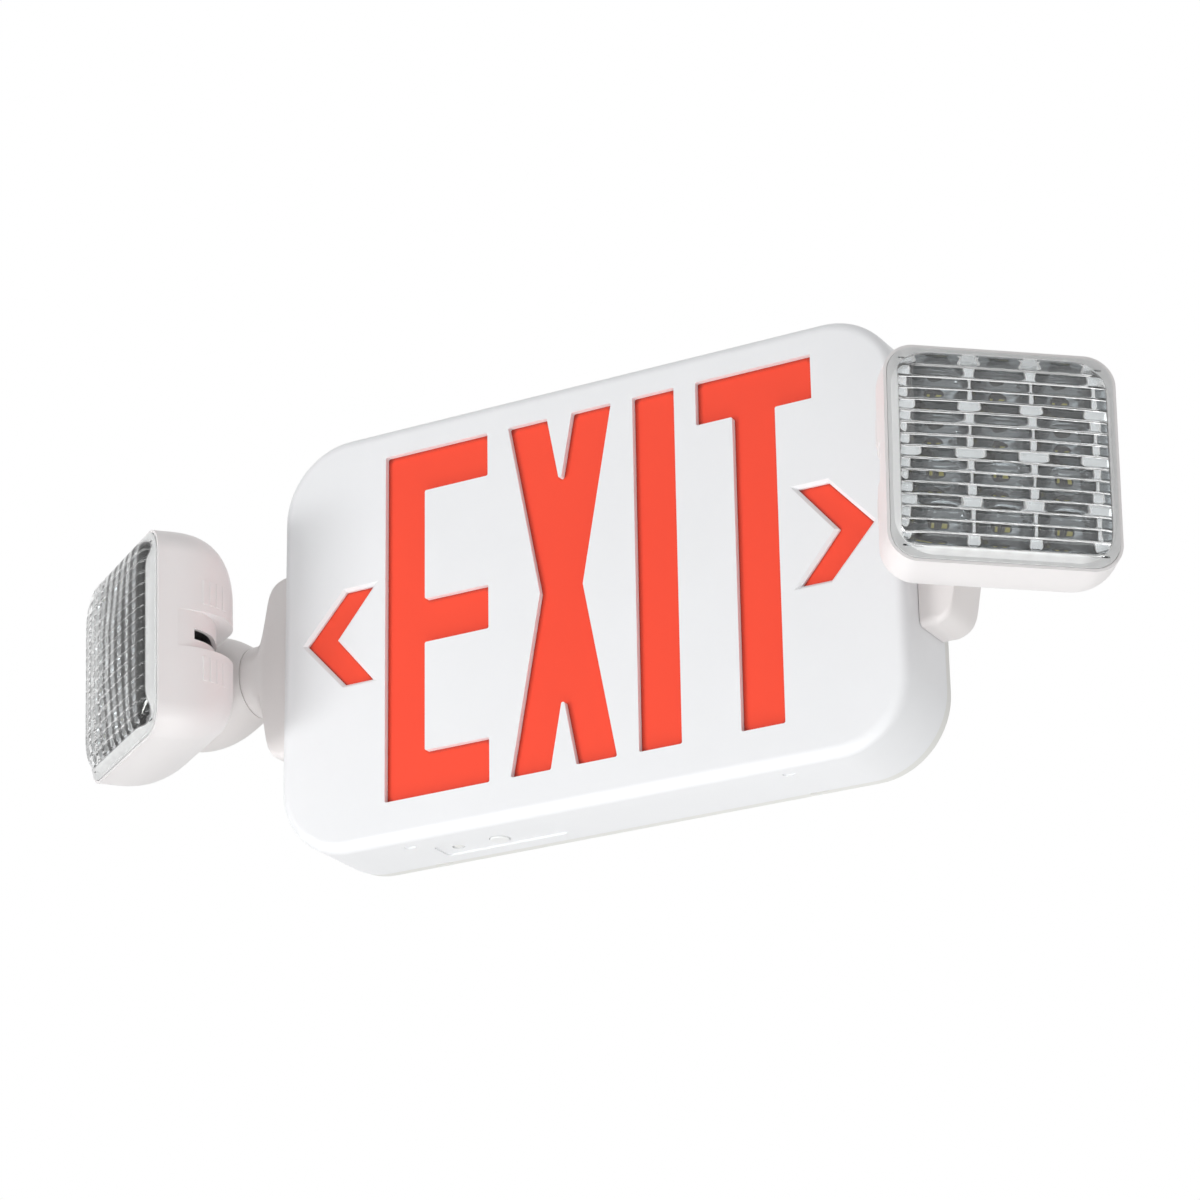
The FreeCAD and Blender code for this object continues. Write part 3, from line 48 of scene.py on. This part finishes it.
def addNode(tree, kind, settings=None, **sockets):
    # sockets are given by name with _ for a space, or as s0, s1 by place
    node = tree.nodes.new("ShaderNode" + kind)
    for name, value in (settings or {}).items():
        setattr(node, name, value)
    for name, value in sockets.items():
        place = int(name[1:]) if name[1:].isdigit() else name.replace("_", " ")
        socket = node.inputs[place]
        if isinstance(value, bpy.types.NodeSocket):
            tree.links.new(value, socket)
        else:
            socket.default_value = value
    return node


def newMaterial(name):
    material = bpy.data.materials.new(name)
    material.use_nodes = True
    tree = material.node_tree
    shader = tree.nodes["Principled BSDF"]
    place = addNode(tree, "TexCoord").outputs["Object"]
    return material, tree, shader, place


def perMm(size):
    # texture scale for a feature of this many millimetres
    return 1000 / size


def mouldedPlastic(name, look):
    # fine spark-eroded grain from the tool, faint flow mottling under it
    sheenSpread = 0.04
    material, tree, shader, place = newMaterial(name)
    mottle = addNode(tree, "TexNoise", Vector=place, Scale=perMm(look["mottleMm"]), Detail=3)
    tint = addNode(tree, "Mix", {"data_type": "RGBA"}, Factor=mottle.outputs["Fac"],
                   A=hexColour(look["colour"]), B=hexColour(look["shade"]))
    tree.links.new(tint.outputs["Result"], shader.inputs["Base Color"])
    grain = addNode(tree, "TexNoise", Vector=place, Scale=perMm(look["grainMm"]), Detail=4)
    bump = addNode(tree, "Bump", Strength=look["grainStrength"],
                   Distance=look["grainDepthMm"] / 1000, Height=grain.outputs["Fac"])
    tree.links.new(bump.outputs["Normal"], shader.inputs["Normal"])
    sheen = addNode(tree, "MapRange", Value=grain.outputs["Fac"],
                    To_Min=look["roughness"] - sheenSpread, To_Max=look["roughness"] + sheenSpread)
    tree.links.new(sheen.outputs["Result"], shader.inputs["Roughness"])
    shader.inputs["IOR"].default_value = look["ior"]
    return material


joints = {joint["name"]: joint for joint in frame["joints"]}
headSet = {"turn": 36.9, "lift": 0.0019}  # degrees outward, metres above the tongue


def headMatrix(side):
    # the head's own frame: pivot at the origin, facing -Y, before it was turned
    joint = joints[side + "_head_swing"]
    up = Vector(joint["axis"]).normalized()
    across = Vector((1 if side == "left" else -1, 0, 0))
    basis = Matrix([across, up.cross(across), up]).transposed().to_4x4()
    turn = Matrix.Rotation(math.radians(-headSet["turn"]), 4, "Z")
    return Matrix.Translation(Vector(joint["pos_m"]) + up * headSet["lift"]) @ basis @ turn


def inHeadFrame(tree, place, side):
    # places across and up the face, measured from the head's pivot
    matrix = headMatrix(side)
    mapped = addNode(tree, "Mapping", {"vector_type": "TEXTURE"}, Vector=place,
                     Location=matrix.to_translation(), Rotation=matrix.to_euler("XYZ"))
    axes = addNode(tree, "SeparateXYZ", Vector=mapped.outputs["Vector"]).outputs
    return axes["X"], axes["Z"]


def hypot(tree, first, second):
    # straight distance from its two legs
    squares = [addNode(tree, "Math", {"operation": "MULTIPLY"}, s0=leg, s1=leg).outputs[0]
               for leg in (first, second)]
    total = addNode(tree, "Math", {"operation": "ADD"}, s0=squares[0], s1=squares[1])
    return addNode(tree, "Math", {"operation": "SQRT"}, s0=total.outputs[0]).outputs[0]


cupGrid = {"columnMm": 23.6, "rowMm": 18.4}


def fromCup(tree, place, side):
    # distances across and up from the middle of the nearest cup
    x, z = inHeadFrame(tree, place, side)
    halfColumn, halfRow = cupGrid["columnMm"] / 2000, cupGrid["rowMm"] / 2000
    raised = addNode(tree, "Math", {"operation": "ADD"}, s0=z, s1=halfRow)
    nearX = addNode(tree, "Math", {"operation": "PINGPONG"}, s0=x, s1=halfColumn)
    nearZ = addNode(tree, "Math", {"operation": "PINGPONG"}, s0=raised.outputs[0], s1=halfRow)
    return nearX.outputs[0], nearZ.outputs[0]


whiteAbs = mouldedPlastic("moulded_white_ABS", {
    # satin, slightly warm white with a grain only just felt
    "colour": "#F0F1F3", "shade": "#ECEDEF", "mottleMm": 40, "grainMm": 0.6,
    "grainStrength": 0.12, "grainDepthMm": 0.05, "roughness": 0.42, "ior": 1.52})
warmAbs = mouldedPlastic("moulded_white_ABS_warm", {
    # the heads' own resin, a shade warmer than the sign's
    "colour": "#F1EEEE", "shade": "#EDEAEA", "mottleMm": 30, "grainMm": 0.6,
    "grainStrength": 0.12, "grainDepthMm": 0.05, "roughness": 0.4, "ior": 1.52})
armAbs = mouldedPlastic("moulded_white_ABS_arm", {
    # arms and necks: same resin, a duller tool finish
    "colour": "#EFEBEA", "shade": "#EBE7E6", "mottleMm": 20, "grainMm": 0.6,
    "grainStrength": 0.15, "grainDepthMm": 0.05, "roughness": 0.46, "ior": 1.52})
plateAbs = mouldedPlastic("moulded_white_ABS_matt", {
    # same resin off a plainer tool, so a little flatter
    "colour": "#E9E9E6", "shade": "#E2E2DF", "mottleMm": 30, "grainMm": 0.8,
    "grainStrength": 0.25, "grainDepthMm": 0.08, "roughness": 0.55, "ior": 1.52})
greyAbs = mouldedPlastic("moulded_pale_grey_ABS", {
    # the button cap, polished by fingers
    "colour": "#EFF0F0", "shade": "#EAEBEB", "mottleMm": 6, "grainMm": 0.5,
    "grainStrength": 0.1, "grainDepthMm": 0.04, "roughness": 0.35, "ior": 1.52})
blackPbt = mouldedPlastic("moulded_black_PBT", {
    # relay, switch and holder cases: dense black with a soft gloss
    "colour": "#161617", "shade": "#1D1D1E", "mottleMm": 5, "grainMm": 0.4,
    "grainStrength": 0.2, "grainDepthMm": 0.04, "roughness": 0.34, "ior": 1.55})
greyNylon = mouldedPlastic("moulded_grey_polyamide", {
    # terminal block: matt mid grey
    "colour": "#575A5C", "shade": "#4E5153", "mottleMm": 5, "grainMm": 0.5,
    "grainStrength": 0.3, "grainDepthMm": 0.06, "roughness": 0.5, "ior": 1.53})
paleNylon = mouldedPlastic("cut_natural_nylon", {
    # washer: milky, a touch yellow
    "colour": "#E3DECC", "shade": "#D9D3BF", "mottleMm": 4, "grainMm": 0.5,
    "grainStrength": 0.3, "grainDepthMm": 0.05, "roughness": 0.45, "ior": 1.53})
cellWrap = mouldedPlastic("shrunk_PVC_cell_wrap", {
    # green sleeve drawn tight, glossy with a slight orange peel
    "colour": "#2E6A42", "shade": "#28603B", "mottleMm": 8, "grainMm": 2.5,
    "grainStrength": 0.25, "grainDepthMm": 0.1, "roughness": 0.28, "ior": 1.53})
canSleeve = mouldedPlastic("shrunk_PVC_can_sleeve", {
    # dark blue sleeve over an aluminium can
    "colour": "#1C2A55", "shade": "#18244A", "mottleMm": 5, "grainMm": 2,
    "grainStrength": 0.2, "grainDepthMm": 0.08, "roughness": 0.3, "ior": 1.53})


def redAcrylic():
    # cast sheet, even signal red, satin on the back so no lamp shows through, with painted shade darkening
    # it next to the letter walls
    look = {"colour": "#FB4A2B", "deep": "#F54326", "cloudMm": 90, "edge": "#A82A18",
            "edgeMm": 3, "closed": 0.5, "open": 0.8, "roughness": 0.4, "ior": 1.49}
    material, tree, shader, place = newMaterial("satin_red_acrylic")
    cloud = addNode(tree, "TexNoise", Vector=place, Scale=perMm(look["cloudMm"]), Detail=1)
    tint = addNode(tree, "Mix", {"data_type": "RGBA"}, Factor=cloud.outputs["Fac"],
                   A=hexColour(look["colour"]), B=hexColour(look["deep"]))
    # painted shade: the sheet is darkened where the letter walls close over it
    opening = addNode(tree, "AmbientOcclusion", {"samples": 8}, Distance=look["edgeMm"] / 1000)
    paintedShadeMask = addNode(tree, "MapRange", Value=opening.outputs["AO"], From_Min=look["closed"],
                      From_Max=look["open"], To_Min=1, To_Max=0)
    withPaintedShade = addNode(tree, "Mix", {"data_type": "RGBA"}, Factor=paintedShadeMask.outputs["Result"],
                     A=tint.outputs["Result"], B=hexColour(look["edge"]))
    tree.links.new(withPaintedShade.outputs["Result"], shader.inputs["Base Color"])
    shader.inputs["Roughness"].default_value = look["roughness"]
    shader.inputs["IOR"].default_value = look["ior"]
    return material


def clearPolycarbonate(side):
    # injection-moulded lens: polished field, frosted flange and border
    look = {"field": 0.0396, "soft": 0.0006, "clear": 0.02, "frosted": 0.4, "milk": 0.35,
            "corner": 0.008, "waveMm": 7.87, "waveDepthMm": 0.13, "colour": "#FBFCFC",
            "ior": 1.585}
    material, tree, shader, place = newMaterial("clear_polycarbonate_" + side)
    x, z = inHeadFrame(tree, place, side)
    straight = look["field"] - look["corner"]
    past = []
    for leg in (x, z):
        length = addNode(tree, "Math", {"operation": "ABSOLUTE"}, s0=leg)
        over = addNode(tree, "Math", {"operation": "SUBTRACT"}, s0=length.outputs[0], s1=straight)
        beyond = addNode(tree, "Math", {"operation": "MAXIMUM"}, s0=over.outputs[0], s1=0)
        past.append(beyond.outputs[0])
    reach = addNode(tree, "Math", {"operation": "ADD"}, s0=hypot(tree, *past), s1=straight)
    for socket, inner, outer in (("Roughness", look["clear"], look["frosted"]),
                                 ("Transmission Weight", 1, look["milk"])):
        border = addNode(tree, "MapRange", Value=reach.outputs[0], From_Min=look["field"],
                         From_Max=look["field"] + look["soft"], To_Min=inner, To_Max=outer)
        tree.links.new(border.outputs["Result"], shader.inputs[socket])
    phase = addNode(tree, "Math", {"operation": "MULTIPLY"}, s0=x,
                    s1=2 * math.pi * perMm(look["waveMm"]))
    wave = addNode(tree, "Math", {"operation": "SINE"}, s0=phase.outputs[0])
    bump = addNode(tree, "Bump", Strength=1, Distance=look["waveDepthMm"] / 1000,
                   Height=wave.outputs[0])
    tree.links.new(bump.outputs["Normal"], shader.inputs["Normal"])
    shader.inputs["Base Color"].default_value = hexColour(look["colour"])
    shader.inputs["IOR"].default_value = look["ior"]
    return material


def metallisedPlastic(side):
    # vacuum-deposited aluminium, bright on the land, with painted reflection darkening the cups and a
    # painted white highlight along their lips
    look = {"cupMm": 11.4, "edgeMm": 0.35, "land": "#D4D7D9", "cup": "#6F7477",
            "lip": "#FFFFFF", "polished": 0.06, "lipRoughness": 0.5}
    material, tree, shader, place = newMaterial("vacuum_metallised_plastic_" + side)
    cup, edge = look["cupMm"] / 1000, look["edgeMm"] / 1000
    radius = hypot(tree, *fromCup(tree, place, side))
    past = addNode(tree, "Math", {"operation": "SUBTRACT"}, s0=radius, s1=cup)
    away = addNode(tree, "Math", {"operation": "ABSOLUTE"}, s0=past.outputs[0])
    # painted highlight: a white line along each cup's rim
    lip = addNode(tree, "MapRange", Value=away.outputs[0], From_Min=edge / 2,
                  From_Max=edge, To_Min=1, To_Max=0)
    # painted reflection: inside each cup the metal is darkened to a dark mirror, while the land keeps the
    # metal's own colour
    inside = addNode(tree, "Math", {"operation": "LESS_THAN"}, s0=radius, s1=cup)
    body = addNode(tree, "Mix", {"data_type": "RGBA"}, Factor=inside.outputs[0],
                   A=hexColour(look["land"]), B=hexColour(look["cup"]))
    tint = addNode(tree, "Mix", {"data_type": "RGBA"}, Factor=lip.outputs["Result"],
                   A=body.outputs["Result"], B=hexColour(look["lip"]))
    tree.links.new(tint.outputs["Result"], shader.inputs["Base Color"])
    sheen = addNode(tree, "MapRange", Value=lip.outputs["Result"], To_Min=look["polished"],
                    To_Max=look["lipRoughness"])
    tree.links.new(sheen.outputs["Result"], shader.inputs["Roughness"])
    shader.inputs["Metallic"].default_value = 1
    return material


def solderMask(name, base, copper):
    # glass-fibre board under solder mask: a faint weave and darker tracks
    look = {"weaveMm": 9, "waver": 1.5, "roughness": 0.35}
    material, tree, shader, place = newMaterial(name)
    weave = addNode(tree, "TexWave", {"bands_direction": "DIAGONAL"}, Vector=place,
                    Scale=perMm(look["weaveMm"]), Distortion=look["waver"], Detail=1)
    tint = addNode(tree, "Mix", {"data_type": "RGBA"}, Factor=weave.outputs["Fac"],
                   A=hexColour(base), B=hexColour(copper))
    tree.links.new(tint.outputs["Result"], shader.inputs["Base Color"])
    shader.inputs["Roughness"].default_value = look["roughness"]
    return material


def phosphorChip():
    # emitter pads: yellow phosphor gel, waxy
    look = {"colour": "#B7AE3F", "shade": "#948C2E", "speckMm": 0.4, "roughness": 0.3}
    material, tree, shader, place = newMaterial("phosphor_gel")
    speck = addNode(tree, "TexNoise", Vector=place, Scale=perMm(look["speckMm"]), Detail=2)
    tint = addNode(tree, "Mix", {"data_type": "RGBA"}, Factor=speck.outputs["Fac"],
                   A=hexColour(look["colour"]), B=hexColour(look["shade"]))
    tree.links.new(tint.outputs["Result"], shader.inputs["Base Color"])
    shader.inputs["Roughness"].default_value = look["roughness"]
    return material


def emitterPair(side):
    # black package with a small window of phosphor gel in each outer half
    look = {"innerMm": 1.5, "tallMm": 0.9, "package": "#1B1C1B", "gel": "#A8A24A",
            "roughness": 0.35}
    material, tree, shader, place = newMaterial("emitter_package_" + side)
    nearX, nearZ = fromCup(tree, place, side)
    outer = addNode(tree, "Math", {"operation": "GREATER_THAN"}, s0=nearX,
                    s1=look["innerMm"] / 1000)
    level = addNode(tree, "Math", {"operation": "LESS_THAN"}, s0=nearZ,
                    s1=look["tallMm"] / 1000)
    window = addNode(tree, "Math", {"operation": "MULTIPLY"}, s0=outer.outputs[0],
                     s1=level.outputs[0])
    tint = addNode(tree, "Mix", {"data_type": "RGBA"}, Factor=window.outputs[0],
                   A=hexColour(look["package"]), B=hexColour(look["gel"]))
    tree.links.new(tint.outputs["Result"], shader.inputs["Base Color"])
    shader.inputs["Roughness"].default_value = look["roughness"]
    return material


def metal(name, look):
    # worked metal: fine directional marks left by the tool
    marking = {"sheenSpread": 0.08, "strength": 0.2, "depthMm": 0.03}
    material, tree, shader, place = newMaterial(name)
    stretch = addNode(tree, "Mapping", Vector=place, Scale=look["stretch"])
    marks = addNode(tree, "TexNoise", Vector=stretch.outputs["Vector"],
                    Scale=perMm(look["markMm"]), Detail=4)
    sheen = addNode(tree, "MapRange", Value=marks.outputs["Fac"],
                    To_Min=look["roughness"] - marking["sheenSpread"],
                    To_Max=look["roughness"] + marking["sheenSpread"])
    tree.links.new(sheen.outputs["Result"], shader.inputs["Roughness"])
    bump = addNode(tree, "Bump", Strength=marking["strength"],
                   Distance=marking["depthMm"] / 1000, Height=marks.outputs["Fac"])
    tree.links.new(bump.outputs["Normal"], shader.inputs["Normal"])
    shader.inputs["Base Color"].default_value = hexColour(look["colour"])
    shader.inputs["Metallic"].default_value = look["metallic"]
    return material


zincScrew = metal("zinc_plated_steel", {
    # bright, slightly blue plating
    "colour": "#C3C6CA", "metallic": 1, "roughness": 0.3, "markMm": 0.5, "stretch": (1, 1, 1)})
groundSteel = metal("centreless_ground_steel", {
    # pins and rings: bright with rings round the turning axis
    "colour": "#C9C9CA", "metallic": 1, "roughness": 0.22, "markMm": 0.3, "stretch": (1, 1, 6)})
laminations = metal("varnished_silicon_steel", {
    # stacked sheets under brown-black varnish, edges show as fine lines
    "colour": "#3A3836", "metallic": 0.6, "roughness": 0.5, "markMm": 0.5,
    "stretch": (0.1, 0.1, 4)})


def windingTape():
    # yellow polyester tape in overlapping turns
    look = {"colour": "#D8BC4E", "shade": "#C4A53C", "turnMm": 60, "roughness": 0.4}
    material, tree, shader, place = newMaterial("polyester_winding_tape")
    turns = addNode(tree, "TexWave", {"bands_direction": "X"}, Vector=place,
                    Scale=perMm(look["turnMm"]))
    tint = addNode(tree, "Mix", {"data_type": "RGBA"}, Factor=turns.outputs["Fac"],
                   A=hexColour(look["colour"]), B=hexColour(look["shade"]))
    tree.links.new(tint.outputs["Result"], shader.inputs["Base Color"])
    shader.inputs["Roughness"].default_value = look["roughness"]
    return material


def milkyGuide():
    # pilot light guide: milky polycarbonate, unlit
    look = {"colour": "#ECECEA", "shade": "#E2E2DF", "cloudMm": 2, "roughness": 0.25,
            "ior": 1.58}
    material, tree, shader, place = newMaterial("milky_polycarbonate")
    cloud = addNode(tree, "TexNoise", Vector=place, Scale=perMm(look["cloudMm"]), Detail=1)
    tint = addNode(tree, "Mix", {"data_type": "RGBA"}, Factor=cloud.outputs["Fac"],
                   A=hexColour(look["colour"]), B=hexColour(look["shade"]))
    tree.links.new(tint.outputs["Result"], shader.inputs["Base Color"])
    shader.inputs["Roughness"].default_value = look["roughness"]
    shader.inputs["IOR"].default_value = look["ior"]
    return material


finishes = {
    "housing_white": whiteAbs, "plate_white": plateAbs, "diffuser_red": redAcrylic(),
    "board_green": solderMask("green_solder_mask", "#14512C", "#1B6237"),
    "board_dark": solderMask("black_solder_mask", "#1A1B1C", "#242527"),
    "chip_yellow": phosphorChip(), "screw_steel": zincScrew, "steel_dark": laminations,
    "coil_tape": windingTape(), "relay_black": blackPbt, "capacitor_sleeve": canSleeve,
    "cell_wrap": cellWrap, "terminal_grey": greyNylon, "button_grey": greyAbs,
    "pilot_lens": milkyGuide(), "pin_steel": groundSteel, "washer_nylon": paleNylon,
}
for side in ("left", "right"):
    finishes[side + "_head_shell"] = warmAbs
    finishes[side + "_arm_base"] = armAbs
    finishes[side + "_neck"] = armAbs
    finishes[side + "_lens"] = clearPolycarbonate(side)
    finishes[side + "_reflector"] = metallisedPlastic(side)
    finishes[side + "_lamp_chips"] = emitterPair(side)
for part in frame["record"]["subparts"]:
    finish = finishes.get(part["node"]) or finishes[part["material_slot"]]
    nodes[part["node"]].material_slots[0].material = finish
print("materials assigned:", len(finishes))


def addPiece(name, form, material, body):
    # closed mesh to a named object that rides on one body
    bmesh.ops.recalc_face_normals(form, faces=form.faces)
    mesh = bpy.data.meshes.new(name)
    form.to_mesh(mesh)
    form.free()
    mesh.materials.append(material)
    piece = bpy.data.objects.new(name, mesh)
    bpy.context.scene.collection.objects.link(piece)
    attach(piece, body)
    return piece


shellForm = {"half": 0.0447, "backHalf": 0.018, "straight": 0.012, "depth": 0.04, "pivot": 0.021}


def flankAt(deep):
    # half width of the shell this far behind its rim
    share = (deep - shellForm["straight"]) / (shellForm["depth"] - shellForm["straight"])
    curve = math.sqrt(1 - max(share, 0) ** 2)
    return shellForm["backHalf"] + (shellForm["half"] - shellForm["backHalf"]) * curve


def makeGripRibs(side):
    # finger ribs on both flanks of a head, above and below its channel
    rib = {"first": 0.0205, "pitch": 0.0034, "count": 4, "width": 0.0019, "length": 0.0105,
           "middle": 0.0165, "proud": 0.0004, "sunk": 0.0006, "round": 0.0002}
    form = bmesh.new()
    for flank in (-1, 1):
        for level in (-1, 1):
            for index in range(rib["count"]):
                middle = rib["first"] + index * rib["pitch"]
                made = bmesh.ops.create_cube(form, size=2)["verts"]
                for vert in made:
                    deep = middle + vert.co.y * rib["width"] / 2
                    wall = flankAt(deep) + (rib["proud"] if vert.co.x > 0 else -rib["sunk"])
                    tall = level * rib["middle"] + vert.co.z * rib["length"] / 2
                    vert.co = (flank * wall, deep - shellForm["pivot"], tall)
    bmesh.ops.bevel(form, geom=form.edges[:], offset=rib["round"], segments=2, profile=0.5,
                    affect="EDGES", material=-1)
    bmesh.ops.transform(form, matrix=headMatrix(side), verts=form.verts)
    return addPiece(side + "_grip_ribs", form, warmAbs, side + "_head")


for side in ("left", "right"):
    makeGripRibs(side)
print("grip ribs made")

room = {"floorDrop": 0.72, "floorSize": 12, "floorColour": "#F6F6F5", "floorShade": "#F1F1F0",
        "cloudMm": 500, "roughness": 0.9, "lift": 0.35, "washLeft": 0.31, "washRight": 0.64}


def seenDirectly(tree):
    # 1 for the eye, and for what it sees in a mirror or through glass
    path = addNode(tree, "LightPath").outputs
    mirrored = addNode(tree, "Math", {"operation": "MAXIMUM"}, s0=path["Is Glossy Ray"],
                       s1=path["Is Transmission Ray"])
    seen = addNode(tree, "Math", {"operation": "MAXIMUM"}, s0=path["Is Camera Ray"],
                   s1=mirrored.outputs[0])
    return seen.outputs[0]


def makeFloor():
    mesh = bpy.data.meshes.new("floor")
    form = bmesh.new()
    bmesh.ops.create_grid(form, x_segments=1, y_segments=1, size=room["floorSize"] / 2,
                          matrix=Matrix.Translation((0, 0, -room["floorDrop"])))
    form.to_mesh(mesh)
    form.free()
    floor = bpy.data.objects.new("floor", mesh)
    bpy.context.scene.collection.objects.link(floor)
    material, tree, shader, place = newMaterial("pale_studio_floor")
    cloud = addNode(tree, "TexNoise", Vector=place, Scale=perMm(room["cloudMm"]), Detail=2)
    tint = addNode(tree, "Mix", {"data_type": "RGBA"}, Factor=cloud.outputs["Fac"],
                   A=hexColour(room["floorColour"]), B=hexColour(room["floorShade"]))
    tree.links.new(tint.outputs["Result"], shader.inputs["Base Color"])
    shader.inputs["Roughness"].default_value = room["roughness"]
    # a little lift where it is seen, so the sweep reads as white paper
    shader.inputs["Emission Color"].default_value = (1, 1, 1, 1)
    lift = addNode(tree, "Math", {"operation": "MULTIPLY"}, s0=seenDirectly(tree), s1=room["lift"])
    tree.links.new(lift.outputs[0], shader.inputs["Emission Strength"])
    mesh.materials.append(material)


def makeWorld():
    # plain white where it is seen; the light it gives is a wash, brighter on the right
    world = bpy.data.worlds.new("studio")
    bpy.context.scene.world = world
    world.use_nodes = True
    tree = world.node_tree
    way = addNode(tree, "TexCoord").outputs["Generated"]
    across = addNode(tree, "SeparateXYZ", Vector=way).outputs[0]
    wash = addNode(tree, "MapRange", Value=across, From_Min=-1, From_Max=1,
                   To_Min=room["washLeft"], To_Max=room["washRight"])
    level = addNode(tree, "MapRange", Value=seenDirectly(tree),
                    To_Min=wash.outputs["Result"], To_Max=1)
    back = tree.nodes["Background"]
    back.inputs["Color"].default_value = (1, 1, 1, 1)
    tree.links.new(level.outputs["Result"], back.inputs["Strength"])


lamps = {
    "key_left": {"place": (-1.2, -1.6, -0.5), "size": (0.8, 0.35), "watts": 14},
    "top_front": {"place": (0.2, -1.5, 1.2), "size": (1.2, 0.8), "watts": 3},
    "under": {"place": (0.1, -0.2, -0.7), "size": (1.2, 0.6), "watts": 5.1},
}


def addSoftbox(name, lamp):
    # rectangular lamp turned to the middle of the sign
    light = bpy.data.lights.new(name, "AREA")
    light.shape = "RECTANGLE"
    light.size, light.size_y = lamp["size"]
    light.energy = lamp["watts"]
    box = bpy.data.objects.new(name, light)
    box.location = lamp["place"]
    box.rotation_euler = (-Vector(lamp["place"])).to_track_quat("-Z", "Y").to_euler()
    bpy.context.scene.collection.objects.link(box)


def addCamera():
    look = {"place": (0.7346, -1.3627, -0.6055), "right": (0.8738, 0.4861, -0.0155),
            "up": (0.192, -0.3155, 0.9293), "back": (0.4469, -0.815, -0.369), "lens": 121.8}
    camera = bpy.data.objects.new("camera", bpy.data.cameras.new("camera"))
    turn = Matrix([look["right"], look["up"], look["back"]]).transposed().to_quaternion()
    camera.matrix_world = Matrix.Translation(look["place"]) @ turn.to_matrix().to_4x4()
    camera.data.sensor_width = 36
    camera.data.lens = look["lens"]
    bpy.context.scene.collection.objects.link(camera)
    bpy.context.scene.camera = camera


makeFloor()
makeWorld()
for name, lamp in lamps.items():
    addSoftbox(name, lamp)
addCamera()
bpy.context.scene.view_settings.view_transform = "Standard"
print("stage and camera ready")
